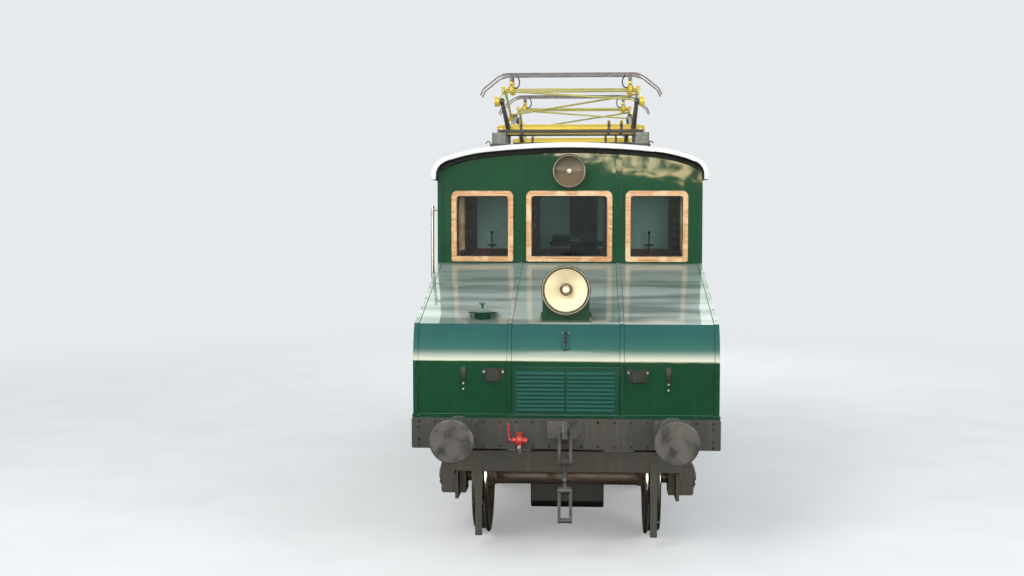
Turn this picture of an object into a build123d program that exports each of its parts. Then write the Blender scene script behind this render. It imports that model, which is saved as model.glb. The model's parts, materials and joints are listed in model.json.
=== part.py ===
from build123d import *
from math import asin, atan2, cos, radians, sin, sqrt, tan
import os

# Steeple-cab electric locomotive, in millimetres. X is across, the front end faces -Y, Z is up.
# The origin is midway between the buffers, on the plane that the wheel flanges' lowest points touch.

# Track and wheels
flange_height = 28
wheel_radius = 475
flange_thickness = 32
wheel_back_gauge = 1360
tyre_width = 135
tyre_depth = 60
rim_depth = 35
axle_waist = 8
axle_waist_run = 20
axle_collar = 4
tread_bevel = 8
tread_fall = 3
tread_edge = 10
flange_root = 8
flange_side = 10
spoke_sink = 6
wheel_hub_radius = 125
wheel_hub_width = 175
axle_radius = 85
journal_radius = 55
running_clearance = 0.05
spoke_count = 10
spoke_width = 62
spoke_thickness = 48

# Heights are above the rail top, which lies one flange height above the origin
rail_top = flange_height
axle_z = rail_top + wheel_radius
buffer_z = rail_top + 1050
deck_z = rail_top + 1135
hood_bend_z = rail_top + 1590
hood_crease_z = rail_top + 1908
hood_top_z = rail_top + 2338
window_bottom_z = rail_top + 2353
window_top_z = rail_top + 3026
headlight_z = rail_top + 2186
roof_crown_z = rail_top + 3478
roof_skirt_z = roof_crown_z - 350
upper_lamp_z = roof_crown_z - 266
pantograph_shaft_z = roof_crown_z + 184

# Body
body_width = 2520
body_length = 8200
cab_length = 4600
half_width = body_width / 2
half_length = body_length / 2
half_cab = cab_length / 2
seat_gap = 0.3

# Main frame
deck_plate = 20
frame_depth = 250
sole_bar_inset = 25
sole_bar_flange = 80
sole_bar_web = 14
bearer_width = 120
bolster_width = 300
bolster_wall = 20
beam_plate = 30
beam_overhang = 10
beam_corner = 12
end_bearer_back = 500
mid_bearer_y = 500
pivot_spacing = 4400
pivot_radius = 60
pivot_dish_radius = 200
pivot_dish_height = 20
pivot_pin_depth = 210

# Bogies
wheelbase = 2000
bogie_half_length = 1570
bogie_plate = 30
bogie_plate_x = 955
bogie_plate_top_z = rail_top + 802
bogie_plate_depth = 220
pedestal_width = 430
pedestal_stay = 34
axle_box_width = 250
axle_box_height = 280
axle_box_in_x = 895
axle_box_out_x = 1118
axle_box_round = 24
journal_end_gap = 1
box_play = 26
journal_end_x = 1096
spring_leaves = 7
spring_leaf = 12
spring_half_span = 400
spring_step = 46
spring_width = 75
spring_radius = 2200
spring_x = 1035
spring_seat = 20
spring_buckle = (91, 90, 114)
hanger = (120, 60, 36)
box_lid_radius = 92
box_lid_thickness = 14
brake_gap = 6
brake_block_depth = 44
brake_block_half = 130
brake_block_in_x = 725
brake_block_out_x = 803
brake_hanger_width = 46
hanger_sink = 8
rail_guard_x = 745
rail_guard_width = 60
rail_guard_thickness = 16
rail_guard_bottom_z = rail_top + 70
motor_width = 660
motor_bottom_z = rail_top + 150
motor_top_z = rail_top + 760
motor_axle_gap = 25
motor_chamfer = 60

# Hoods
hood_sheet = 30
hood_crease_back = 100
strip_rise = 6
edge_strip_width = 40
cover_strip_width = 34
cover_strip_x = 0.3683 * half_width
base_strip_height = 30
base_strip_rise = 8
seam_share = 0.634
seam_width = 24
seam_rise = 3
latch_z = rail_top + 1752
latch_plate_length = 120
latch_plate_width = 48
latch_plate_rise = 5
latch_rise = 17
latch_slot_width = 16
latch_slot_length = 72
latch_slot_corner = 7
latch_rod_width = 8
latch_rod_length = 120
latch_rod_offset = 90

# Cab
wall = 60
window_side_x = 0.6587 * half_width
window_side_width = 0.4683 * half_width
window_mid_width = 0.6492 * half_width
window_corner_top = 55
window_corner_bottom = 22
frame_bar = 48
frame_proud = 14
frame_inside = 10
glass_thickness = 6
side_window_count = 3
side_window_width = 700
door_width = 640
door_height = 1930
door_thickness = 45
door_gap = 5
door_corner_gap = 115
belt_door_gap = 120
door_window_width = 440
hinge_radius = 12
hinge_height = 110
hinge_inset = 220
hinge_leaf = (6, 70, 90)
hinge_leaf_back = 30
handle_z = rail_top + 2100
handle_back = 60
handle_rose_radius = 26
handle_rose_depth = 12
handle_grip = (12, 26, 110)
handle_grip_reach = 6
wall_strip_x = 0.3746 * half_width
wall_strip_width = 60
wall_strip_rise = 6
post_width = 46
belt_gap = 8
belt_height = 6
belt_bottom_z = hood_top_z + belt_gap
belt_top_z = belt_bottom_z + belt_height
belt_rise = 10

# Roof: a three-centred arch, drawn in shares of its half width
roof_sheet = 48
roof_half_width = half_width + roof_sheet
roof_overhang = 120
skirt_lap = 40
roof_crown_radius = 5.734 * roof_half_width
roof_crown_reach = 0.6116 * roof_half_width
roof_shoulder_radius = 1.2232 * roof_half_width
roof_shoulder_reach = 0.9098 * roof_half_width

# Buffers and draw gear
buffer_spacing = 1750
buffer_length = 620
buffer_base_width = 300
buffer_base_height = 238
buffer_base_plate = 22
base_drop = 4
buffer_stock_length = 330
stock_root_radius = 108
stock_end_radius = 96
plunger_radius = 62
plunger_end_radius = 52
buffer_disc_radius = 175
buffer_disc_thickness = 28
disc_foot_radius = 100
disc_foot_length = 30
disc_edge = 8
disc_face_bevel = 14
hook_thickness = 46
hook_plate_width = 300
hook_plate_height = 150
hook_eye_reach = 120
hook_pin_radius = 20
# the hook's side outline: reach from the beam's face, height above its axis
hook_outline = (
    (10, -45),
    (10, 45),
    (165, 45),
    (190, 18),
    (238, -18),
    (260, 8),
    (252, 85),
    (280, 100),
    (300, 60),
    (300, -30),
    (240, -80),
    (180, -70),
    (hook_eye_reach, -45),
)

# Pantographs: two rhombic sets in line
pantograph_y = 1350
shaft_offset = 130
arm_length = 990
arm_rest_angle = 11.5
shaft_tube_radius = 45
shaft_stub_radius = 20
bearing_x = 700
arm_x = 630
upper_x = 676
apex_x = 600
insulator_x = 706
insulator_y = 300
insulator_side = 150
insulator_height = 112
bow_half_straight = 700
bow_rise = 156


def write(piece, name):
    """Label a finished piece and write it as one file."""
    piece.part.label = name
    export_step(piece.part, f"parts/{name}.step")


def turned(shape):
    """The same shape at the other end of the locomotive."""
    return shape.rotate(Axis.Z, 180)


def rod(start, finish, radius):
    """Round bar from start to finish."""
    way = Vector(*finish) - Vector(*start)
    with BuildPart() as bar:
        with BuildSketch(Plane(origin=start, z_dir=way)):
            Circle(radius)
        extrude(amount=way.length)
    return bar.part


def dome_points(rim_y, axis_z, rim_radius, bulge):
    """Start, middle and end of half a dome's arc, from its rim to its pole bulge further along Y."""
    ball_radius = (rim_radius**2 + bulge**2) / (2 * abs(bulge))
    half_angle = asin(rim_radius / ball_radius) / 2
    way = 1 if bulge > 0 else -1
    pole_y = rim_y + bulge
    mid_y = pole_y - way * ball_radius * (1 - cos(half_angle))
    return (rim_y, axis_z + rim_radius), (mid_y, axis_z + ball_radius * sin(half_angle)), (pole_y, axis_z)


os.makedirs("parts", exist_ok=True)

# Main frame: deck plate, two channel sole bars, cross bearers, box bolsters and centre pins
frame_bottom_z = deck_z - frame_depth
under_deck_z = deck_z - deck_plate
sole_bar_x = half_width - sole_bar_inset
bearer_depth = frame_depth - deck_plate
end_bearer_y = half_length - end_bearer_back
bearer_ys = [-end_bearer_y, -mid_bearer_y, mid_bearer_y, end_bearer_y]
inner_half_width = sole_bar_x - sole_bar_web

with BuildPart() as main_frame:
    with BuildSketch(Plane.XY.offset(under_deck_z)):
        Rectangle(body_width, body_length)
    extrude(amount=deck_plate)
    with BuildSketch(Plane.XZ):
        for side in (-1, 1):
            with Locations((side * (sole_bar_x - sole_bar_flange / 2), (frame_bottom_z + under_deck_z) / 2)):
                Rectangle(sole_bar_flange, bearer_depth)
            with Locations(
                (side * (inner_half_width - sole_bar_flange / 2), (frame_bottom_z + under_deck_z) / 2)
            ):
                Rectangle(sole_bar_flange, bearer_depth - 2 * sole_bar_web, mode=Mode.SUBTRACT)
    extrude(amount=half_length, both=True)
    for bearer_y in bearer_ys:
        depth = bearer_depth / 2 if abs(bearer_y) == end_bearer_y else bearer_depth
        with Locations((0, bearer_y, under_deck_z - depth / 2)):
            Box(2 * inner_half_width, bearer_width, depth)
    for end in (-1, 1):
        with Locations((0, end * pivot_spacing / 2, (frame_bottom_z + under_deck_z) / 2)):
            Box(2 * inner_half_width, bolster_width, bearer_depth)
            Box(
                2 * sole_bar_x,
                bolster_width - 2 * bolster_wall,
                bearer_depth - 2 * bolster_wall,
                mode=Mode.SUBTRACT,
            )
        with Locations((0, end * pivot_spacing / 2, frame_bottom_z)):
            Cylinder(pivot_dish_radius, pivot_dish_height, align=(Align.CENTER, Align.CENTER, Align.MAX))
            Cylinder(pivot_radius, pivot_pin_depth, align=(Align.CENTER, Align.CENTER, Align.MAX))
    # the bolsters' end webs close the sole bars again
    with BuildSketch(Plane.XZ):
        for side in (-1, 1):
            with Locations((side * (sole_bar_x - sole_bar_web / 2), (frame_bottom_z + under_deck_z) / 2)):
                Rectangle(sole_bar_web, bearer_depth)
    extrude(amount=half_length, both=True)
write(main_frame, "main_frame")

# Buffer beams: a heavy face plate at each end, a little wider than the deck
beam_mid_z = deck_z - frame_depth / 2
beam_face_y = half_length + beam_plate
with BuildPart() as front_beam:
    with Locations((0, -half_length - beam_plate / 2, beam_mid_z)):
        Box(body_width + 2 * beam_overhang, beam_plate, frame_depth)
    fillet(front_beam.edges().filter_by(Axis.Y), radius=beam_corner)
with BuildPart() as buffer_beams:
    add(front_beam.part)
    add(turned(front_beam.part))
write(buffer_beams, "buffer_beams")

# Buffers: base flange, tapered stock, plunger and head disc, turned about the buffer's own axis
disc_back = buffer_length - buffer_disc_thickness
base_top = deck_z - buffer_z - base_drop
with BuildPart() as one_buffer:
    with BuildSketch(Plane.YZ):
        with BuildLine():
            Polyline(
                (0, 0),
                (0, stock_root_radius),
                (-buffer_stock_length, stock_end_radius),
                (-buffer_stock_length, plunger_radius),
                (-disc_back + disc_foot_length, plunger_end_radius),
                (-disc_back, disc_foot_radius),
                (-disc_back, buffer_disc_radius - disc_edge),
                (-disc_back - disc_edge, buffer_disc_radius),
                (-buffer_length + disc_edge, buffer_disc_radius),
                (-buffer_length, buffer_disc_radius - disc_face_bevel),
                (-buffer_length, 0),
                close=True,
            )
        make_face()
    revolve(axis=Axis.Y)
    with Locations((0, 0, base_top)):
        Box(buffer_base_width, buffer_base_plate, buffer_base_height,
            align=(Align.CENTER, Align.MAX, Align.MAX))
with BuildPart() as buffers:
    for side in (-1, 1):
        with Locations((side * buffer_spacing / 2, -beam_face_y, buffer_z)):
            add(one_buffer.part)
        with Locations((side * buffer_spacing / 2, beam_face_y, buffer_z)):
            add(turned(one_buffer.part))
write(buffers, "buffers")

# Draw hooks: mounting plate, shank with the coupling's eye, and the hook's nose
eye_y = -beam_face_y - hook_eye_reach
with BuildPart() as front_hook:
    with Locations((0, -beam_face_y, buffer_z)):
        Box(hook_plate_width, buffer_base_plate, hook_plate_height,
            align=(Align.CENTER, Align.MAX, Align.CENTER))
    with BuildSketch(Plane.YZ):
        with BuildLine():
            hook_points = [(-beam_face_y - reach, buffer_z + height) for reach, height in hook_outline]
            Polyline(*hook_points, close=True)
        make_face()
        with Locations((eye_y, buffer_z)):
            Circle(hook_pin_radius + running_clearance, mode=Mode.SUBTRACT)
    extrude(amount=hook_thickness / 2, both=True)
with BuildPart() as draw_hooks:
    add(front_hook.part)
    add(turned(front_hook.part))
write(draw_hooks, "draw_hooks")

# Screw couplings: shackle on the hook's pin, screw with its hand lever, and the free bow below
shackle_play = 12
shackle_x = hook_thickness / 2 + shackle_play
shackle_bar = 24
shackle_width = 56
link_width = 44
link_length = 250
link_bar_radius = 20
nut_z = buffer_z - 250
nut_radius = 30
screw_length = 230
screw_radius = 19
screw_mid_z = nut_z - screw_length / 2
lever_reach = 145
lever_radius = 9
lever_ball_radius = 26
link_top_z = nut_z - screw_length
link_x = shackle_x + shackle_bar / 2
with BuildPart() as front_coupling:
    with BuildSketch(Plane.YZ):
        with Locations((eye_y, buffer_z)):
            Circle(hook_pin_radius)
    extrude(amount=shackle_x + shackle_bar, both=True)
    for side in (-1, 1):
        with BuildSketch(Plane.YZ.offset(side * link_x)):
            with Locations((eye_y, (buffer_z + nut_z) / 2)):
                SlotCenterToCenter(buffer_z - nut_z, shackle_width, rotation=90)
            with Locations((eye_y, link_top_z - link_length / 2)):
                SlotCenterToCenter(link_length, link_width, rotation=90)
        extrude(amount=shackle_bar / 2, both=True)
    for bar_z, bar_radius in (
        (nut_z, nut_radius),
        (link_top_z, nut_radius),
        (link_top_z - link_length, link_bar_radius),
    ):
        with BuildSketch(Plane.YZ):
            with Locations((eye_y, bar_z)):
                Circle(bar_radius)
        extrude(amount=link_x, both=True)
    with Locations((0, eye_y, screw_mid_z)):
        Cylinder(screw_radius, screw_length)
    with Locations((0, eye_y - lever_reach / 2, screw_mid_z)):
        Cylinder(lever_radius, lever_reach, rotation=(90, 0, 0))
    with Locations((0, eye_y - lever_reach, screw_mid_z)):
        Sphere(lever_ball_radius)
write(front_coupling, "front_coupling")
with BuildPart() as rear_coupling:
    add(turned(front_coupling.part))
write(rear_coupling, "rear_coupling")

# Brake cocks: pipe out of the beam, angle cock with its upright handle, and the turned-down hose fitting
cock_x = -385
cock_drop = 20
cock_z = buffer_z - cock_drop
cock_reach = 105
cock_flange_radius = 42
cock_flange_thickness = 24
cock_pipe_radius = 25
cock_pipe_length = 130
cock_body_radius = 36
cock_body_height = 104
cock_stem_radius = 17
cock_handle_rise = 92
cock_handle = (130, 26, 20)
hose_radius = 30
hose_length = 110
hose_tilt = 48
with BuildPart() as front_cock:
    for pipe_radius, pipe_length in (
        (cock_flange_radius, cock_flange_thickness),
        (cock_pipe_radius, cock_pipe_length),
    ):
        with BuildSketch(Plane.XZ.offset(beam_face_y)):
            with Locations((cock_x, cock_z)):
                Circle(pipe_radius)
        extrude(amount=pipe_length)
    with Locations((cock_x, -beam_face_y - cock_reach, cock_z)):
        Cylinder(cock_body_radius, cock_body_height)
        Cylinder(cock_stem_radius, cock_handle_rise, align=(Align.CENTER, Align.CENTER, Align.MIN))
    with Locations((cock_x, -beam_face_y - cock_reach, cock_z + cock_handle_rise)):
        Box(*cock_handle)
    with Locations((cock_x, -beam_face_y - cock_reach - cock_body_radius, cock_z - cock_stem_radius)):
        Cylinder(hose_radius, hose_length, rotation=(hose_tilt, 0, 0))
with BuildPart() as brake_cocks:
    add(front_cock.part)
    add(turned(front_cock.part))
write(brake_cocks, "brake_cocks")


# Hood profile, seen from the side: upright front, an arc back to the crease, then a straight slope to the cab
crease_rise = hood_crease_z - hood_bend_z
bend_radius = (crease_rise**2 + hood_crease_back**2) / (2 * hood_crease_back)
bend_angle = asin(crease_rise / bend_radius)
crease_y = -half_length + hood_crease_back
slope_run = -half_cab - crease_y
slope_angle = atan2(hood_top_z - hood_crease_z, slope_run)


def hood_face(grow):
    """Face of the hood's side profile, with its outer line moved out by grow."""
    centre_y = -half_length + bend_radius
    radius = bend_radius + grow
    mid = bend_angle / 2
    slope_y = crease_y - grow * sin(slope_angle)
    slope_z = hood_crease_z + grow * cos(slope_angle)
    with BuildSketch() as profile:
        with BuildLine():
            front = Line((-half_length - grow, deck_z), (-half_length - grow, hood_bend_z))
            arc = ThreePointArc(
                front @ 1,
                (centre_y - radius * cos(mid), hood_bend_z + radius * sin(mid)),
                (centre_y - radius * cos(bend_angle), hood_bend_z + radius * sin(bend_angle)),
            )
            points = [arc @ 1]
            if grow > 0:
                points.append((slope_y, slope_z))
            points.append((-half_cab, slope_z + (-half_cab - slope_y) * tan(slope_angle)))
            points.append((-half_cab, deck_z))
            points.append(front @ 0)
            Polyline(*points)
        make_face()
    return profile.sketch


with BuildPart() as hood_shell:
    with BuildSketch(Plane.YZ):
        add(hood_face(0))
    extrude(amount=half_width, both=True)
    offset(
        amount=-hood_sheet,
        openings=[
            hood_shell.faces().sort_by(Axis.Z)[0],
            hood_shell.faces().sort_by(Axis.Y)[-1],
        ],
    )
with BuildPart() as hood_strips:
    for strip_x, strip_width in (
        (-half_width + edge_strip_width / 2, edge_strip_width),
        (-cover_strip_x, cover_strip_width),
        (cover_strip_x, cover_strip_width),
        (half_width - edge_strip_width / 2, edge_strip_width),
    ):
        with BuildSketch(Plane.YZ.offset(strip_x)):
            add(hood_face(strip_rise))
            add(hood_face(0), mode=Mode.SUBTRACT)
        extrude(amount=strip_width / 2, both=True)
with BuildPart() as hood_base:
    with BuildSketch(Plane.XY.offset(deck_z)):
        with Locations((0, -half_length - base_strip_rise)):
            Rectangle(body_width + 2 * base_strip_rise, half_length + base_strip_rise - half_cab,
                      align=(Align.CENTER, Align.MIN))
        with Locations((0, -half_length)):
            Rectangle(body_width, half_length - half_cab, align=(Align.CENTER, Align.MIN), mode=Mode.SUBTRACT)
    extrude(amount=base_strip_height)
slope_plane = Plane(
    origin=(0, crease_y, hood_crease_z),
    x_dir=(1, 0, 0),
    z_dir=(0, -sin(slope_angle), cos(slope_angle)),
)
with BuildPart() as hood_seam:
    with BuildSketch(slope_plane):
        with Locations((0, seam_share * slope_run / cos(slope_angle))):
            Rectangle(body_width, seam_width)
    extrude(amount=seam_rise)
# the latch sits on the rounded shoulder, square to it
latch_angle = asin((latch_z - hood_bend_z) / bend_radius)
latch_plane = Plane(
    origin=(
        0,
        -half_length + bend_radius * (1 - cos(latch_angle)),
        hood_bend_z + bend_radius * sin(latch_angle),
    ),
    x_dir=(1, 0, 0),
    z_dir=(0, -cos(latch_angle), sin(latch_angle)),
)
with BuildPart() as hood_latch:
    with BuildSketch(latch_plane.offset(-latch_plate_rise)):
        SlotOverall(latch_plate_length, latch_plate_width, rotation=90)
    extrude(amount=2 * latch_plate_rise)
    with BuildSketch(latch_plane):
        RectangleRounded(latch_slot_width, latch_slot_length, latch_slot_corner)
        with Locations((0, latch_rod_offset)):
            Rectangle(latch_rod_width, latch_rod_length)
    extrude(amount=latch_rise)
with BuildPart() as front_hood:
    for hood_piece in (hood_shell, hood_strips, hood_base, hood_seam, hood_latch):
        add(hood_piece.part)
write(front_hood, "front_hood")
with BuildPart() as rear_hood:
    add(turned(front_hood.part))
write(rear_hood, "rear_hood")

# Louvre panels on the hoods' upright fronts: a thin framed panel with two columns of raised louvres
louvre_panel_width = 870
louvre_panel_bottom = rail_top + 1165
louvre_panel_height = 394
louvre_panel_plate = 5
louvre_rise = 13
louvre_count = 10
louvre_pitch = 33.5
louvre_height = 25
louvre_length = 392
louvre_column_x = 207
louvre_lip = 3
louvre_margin = 32
louvre_bottom = louvre_panel_bottom + louvre_margin
side_louvre_y = 3230
hood_face_y = half_length
with BuildPart() as front_louvres:
    with BuildSketch(Plane.XZ.offset(hood_face_y)):
        with Locations((0, louvre_panel_bottom + louvre_panel_height / 2)):
            Rectangle(louvre_panel_width, louvre_panel_height)
    extrude(amount=louvre_panel_plate)
    for row in range(louvre_count):
        foot_z = louvre_bottom + row * louvre_pitch
        for column_x in (-louvre_column_x, louvre_column_x):
            with BuildSketch(Plane.YZ.offset(column_x)):
                with BuildLine():
                    Polyline(
                        (-hood_face_y - louvre_panel_plate, foot_z),
                        (-hood_face_y - louvre_panel_plate - louvre_rise, foot_z + louvre_lip),
                        (-hood_face_y - louvre_panel_plate, foot_z + louvre_height),
                        close=True,
                    )
                make_face()
            extrude(amount=louvre_length / 2, both=True)
with BuildPart() as hood_louvres:
    add(front_louvres.part)
    add(turned(front_louvres.part))
    for side in (-1, 1):
        for end in (-1, 1):
            with Locations((side * (half_width - half_length), end * side_louvre_y, 0)):
                add(front_louvres.part.rotate(Axis.Z, side * 90))
write(hood_louvres, "hood_louvres")

# Hood fittings: two lamp brackets, two straps and the loop catch on each hood's front
bracket_x = 594
bracket_z = rail_top + 1490
bracket_plate_width = 186
bracket_plate_height = 112
bracket_plate = 6
bracket_taper = 75
bracket_cup_width = 96
bracket_cup_height = 88
bracket_cup_wall = 12
bracket_reach = 42
strap_x = 843
strap_z = rail_top + 1458
strap_length = 200
strap_width = 34
strap_rise = 14
with BuildPart() as front_fittings:
    for side in (-1, 1):
        with BuildSketch(Plane.XZ.offset(hood_face_y)):
            with Locations((side * bracket_x, bracket_z)):
                Trapezoid(bracket_plate_width, bracket_plate_height, bracket_taper, rotation=180)
        extrude(amount=bracket_plate)
        # an open-topped cup that takes a hand lamp's hook
        with BuildSketch(Plane.XZ.offset(hood_face_y + bracket_plate)):
            with Locations((side * bracket_x, bracket_z)):
                Rectangle(bracket_cup_width, bracket_cup_height)
        extrude(amount=bracket_reach)
        with BuildSketch(Plane.XZ.offset(hood_face_y + bracket_plate)):
            with Locations((side * bracket_x, bracket_z + bracket_cup_wall)):
                Rectangle(bracket_cup_width - 2 * bracket_cup_wall, bracket_cup_height)
        extrude(amount=bracket_reach - bracket_cup_wall, mode=Mode.SUBTRACT)
        with BuildSketch(Plane.XZ.offset(hood_face_y)):
            with Locations((side * strap_x, strap_z)):
                SlotOverall(strap_length, strap_width, rotation=90)
        extrude(amount=strap_rise)
with BuildPart() as hood_fittings:
    add(front_fittings.part)
    add(turned(front_fittings.part))
write(hood_fittings, "hood_fittings")

# Vents: a flat mushroom cap on a neck, with a small upright handle, on the left of each hood's slope
vent_x = -705
vent_back = 270
vent_y = -half_length + vent_back
vent_z = hood_crease_z + (vent_y - crease_y) * tan(slope_angle)
vent_radius = 130
vent_neck_radius = 84
vent_lip_rise = 36
vent_lip_z = vent_z + vent_lip_rise
vent_lip_height = 12
vent_crown_radius = 60
vent_crown_height = 30
vent_crown_z = vent_lip_z + vent_crown_height
vent_crown_drop = 2
vent_handle_radius = 9
vent_handle_height = 46
vent_handle_length = 54
with BuildPart() as front_vent:
    with Locations((vent_x, vent_y, vent_lip_z)):
        Cylinder(vent_neck_radius, 2 * vent_neck_radius, align=(Align.CENTER, Align.CENTER, Align.MAX))
    with BuildSketch(Plane.XZ.offset(-vent_y)):
        with BuildLine():
            Polyline(
                (vent_x, vent_lip_z),
                (vent_x + vent_radius, vent_lip_z),
                (vent_x + vent_radius, vent_lip_z + vent_lip_height),
                (vent_x + vent_crown_radius, vent_crown_z - vent_crown_drop),
                (vent_x, vent_crown_z),
                close=True,
            )
        make_face()
    revolve(axis=Axis((vent_x, vent_y, vent_z), (0, 0, 1)))
    with Locations((vent_x, vent_y, vent_crown_z - vent_crown_drop)):
        Cylinder(vent_handle_radius, vent_handle_height, align=(Align.CENTER, Align.CENTER, Align.MIN))
    with Locations((vent_x, vent_y, vent_crown_z + vent_handle_height)):
        Cylinder(vent_handle_radius, vent_handle_length, rotation=(0, 90, 0))
    split(bisect_by=slope_plane, keep=Keep.TOP)
with BuildPart() as hood_vents:
    add(front_vent.part)
    add(turned(front_vent.part))
write(hood_vents, "hood_vents")

# Lamps: a drum headlight on a square pedestal on each hood, and a round lamp on each cab front
headlight_radius = 207
headlight_lens_radius = 183
headlight_setback = 15
headlight_face_y = crease_y + headlight_setback
headlight_depth = 250
headlight_rim_width = 30
headlight_rim_rise = 12
pedestal_depth = 200
pedestal_plate = 14
pedestal_flange = 20
pedestal_setback = 6
headlight_back_bulge = 90
reflector_depth = 150
lens_inset = 14
lens_ledge = 6
lens_thickness = 12
lens_bulge = 26
upper_lamp_radius = 162
upper_lens_radius = 146
upper_lamp_depth = 70
upper_lamp_back = 12
upper_lens_setback = 40
drum_radius = headlight_radius - headlight_rim_rise
pedestal_y = headlight_face_y + headlight_rim_width + pedestal_setback + pedestal_depth / 2
with BuildPart() as front_headlight:
    with BuildSketch(Plane.YZ):
        with BuildLine():
            Polyline(
                (headlight_face_y, headlight_z),
                (headlight_face_y, headlight_z + headlight_radius),
                (headlight_face_y + headlight_rim_width, headlight_z + headlight_radius),
                (headlight_face_y + headlight_rim_width, headlight_z + drum_radius),
                (headlight_face_y + headlight_depth, headlight_z + drum_radius),
            )
            back = dome_points(
                headlight_face_y + headlight_depth, headlight_z, drum_radius, headlight_back_bulge
            )
            ThreePointArc(*back)
            Line(back[2], (headlight_face_y, headlight_z))
        make_face()
    revolve(axis=Axis((0, headlight_face_y, headlight_z), (0, 1, 0)))
    with BuildSketch(Plane.XY.offset(headlight_z)):
        with Locations((0, pedestal_y)):
            Rectangle(2 * drum_radius, pedestal_depth)
    extrude(amount=hood_crease_z - headlight_z)
    with BuildSketch(slope_plane.offset(pedestal_plate)):
        with Locations((0, pedestal_y - crease_y)):
            Rectangle(2 * (drum_radius + pedestal_flange), pedestal_depth + 2 * pedestal_flange)
    extrude(amount=-pedestal_plate)
    split(bisect_by=slope_plane, keep=Keep.TOP)
    # the reflector bowl, with a ledge for the lens
    with BuildSketch(Plane.YZ):
        with BuildLine():
            bowl = dome_points(
                headlight_face_y + lens_inset,
                headlight_z,
                headlight_lens_radius - lens_ledge,
                reflector_depth,
            )
            ThreePointArc(*bowl)
            Polyline(
                bowl[2],
                (headlight_face_y, headlight_z),
                (headlight_face_y, headlight_z + headlight_lens_radius),
                (headlight_face_y + lens_inset, headlight_z + headlight_lens_radius),
                bowl[0],
            )
        make_face()
    revolve(axis=Axis((0, headlight_face_y, headlight_z), (0, 1, 0)), mode=Mode.SUBTRACT)
with BuildPart() as front_upper_lamp:
    with BuildSketch(Plane.XZ.offset(half_cab)):
        with Locations((0, upper_lamp_z)):
            Circle(upper_lamp_radius)
    extrude(amount=upper_lamp_depth)
    with BuildSketch(Plane.XZ.offset(half_cab + upper_lamp_back)):
        with Locations((0, upper_lamp_z)):
            Circle(upper_lens_radius)
    extrude(amount=upper_lamp_depth, mode=Mode.SUBTRACT)
with BuildPart() as lamp_housings:
    add(front_headlight.part)
    add(front_upper_lamp.part)
    add(turned(front_headlight.part))
    add(turned(front_upper_lamp.part))
write(lamp_housings, "lamp_housings")

# Lenses: shallow domes just inside the rims
with BuildPart() as front_lenses:
    for lens_z, lens_radius, lens_back in (
        (headlight_z, headlight_lens_radius - seat_gap, headlight_face_y + lens_inset),
        (upper_lamp_z, upper_lens_radius - seat_gap, -half_cab - upper_lamp_depth + upper_lens_setback),
    ):
        with BuildSketch(Plane.YZ):
            with BuildLine():
                Line((lens_back, lens_z), (lens_back, lens_z + lens_radius))
                Line((lens_back, lens_z + lens_radius), (lens_back - lens_thickness, lens_z + lens_radius))
                dome = dome_points(lens_back - lens_thickness, lens_z, lens_radius, -lens_bulge)
                ThreePointArc(*dome)
                Line(dome[2], (lens_back, lens_z))
            make_face()
        revolve(axis=Axis((0, lens_back, lens_z), (0, 1, 0)))
with BuildPart() as lamp_lenses:
    add(front_lenses.part)
    add(turned(front_lenses.part))
write(lamp_lenses, "lamp_lenses")

# Roof arch: crown arc, shoulder arcs and tight corners, all tangent, then short upright skirts
crown_angle = asin(roof_crown_reach / roof_crown_radius)
shoulder_angle = asin(sin(crown_angle) + (roof_shoulder_reach - roof_crown_reach) / roof_shoulder_radius)
corner_radius = (roof_half_width - roof_shoulder_reach) / (1 - sin(shoulder_angle))


def roof_arch(inset, foot_z):
    """Face under the roof's arch, moved in by inset, down to foot_z."""
    crown_r = roof_crown_radius - inset
    shoulder_r = roof_shoulder_radius - inset
    corner_r = corner_radius - inset
    crown_centre = roof_crown_z - roof_crown_radius
    shoulder_x = roof_crown_reach - roof_shoulder_radius * sin(crown_angle)
    shoulder_z = crown_centre + (roof_crown_radius - roof_shoulder_radius) * cos(crown_angle)
    corner_x = roof_half_width - corner_radius
    corner_z = shoulder_z + (roof_shoulder_radius - corner_radius) * cos(shoulder_angle)
    half = (crown_angle + shoulder_angle) / 2
    low = (shoulder_angle + radians(90)) / 2
    with BuildSketch() as arch:
        with BuildLine():
            right = (crown_r * sin(crown_angle), crown_centre + crown_r * cos(crown_angle))
            shoulder = (
                shoulder_x + shoulder_r * sin(shoulder_angle),
                shoulder_z + shoulder_r * cos(shoulder_angle),
            )
            ThreePointArc((0, crown_centre + crown_r), (crown_r * sin(crown_angle / 2),
                          crown_centre + crown_r * cos(crown_angle / 2)), right)
            ThreePointArc(right, (shoulder_x + shoulder_r * sin(half), shoulder_z + shoulder_r * cos(half)),
                          shoulder)
            ThreePointArc(shoulder, (corner_x + corner_r * sin(low), corner_z + corner_r * cos(low)),
                          (corner_x + corner_r, corner_z))
            Polyline((corner_x + corner_r, corner_z), (corner_x + corner_r, foot_z), (0, foot_z),
                     (0, crown_centre + crown_r))
        make_face()
        mirror(about=Plane.YZ)
    return arch.sketch


with BuildPart() as cab_roof:
    with BuildSketch(Plane.XZ):
        add(roof_arch(0, roof_skirt_z))
        add(roof_arch(roof_sheet, deck_z), mode=Mode.SUBTRACT)
    extrude(amount=half_cab + roof_overhang, both=True)
write(cab_roof, "cab_roof")


# Cab walls: the ends carry three windows, the sides a doorway and a row of windows
window_height = window_top_z - window_bottom_z
window_mid_z = (window_top_z + window_bottom_z) / 2
wall_strip_gap = 22
wall_strip_top_z = roof_crown_z - roof_sheet - wall_strip_gap
end_windows = (
    (-window_side_x, window_side_width),
    (0, window_mid_width),
    (window_side_x, window_side_width),
)


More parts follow.
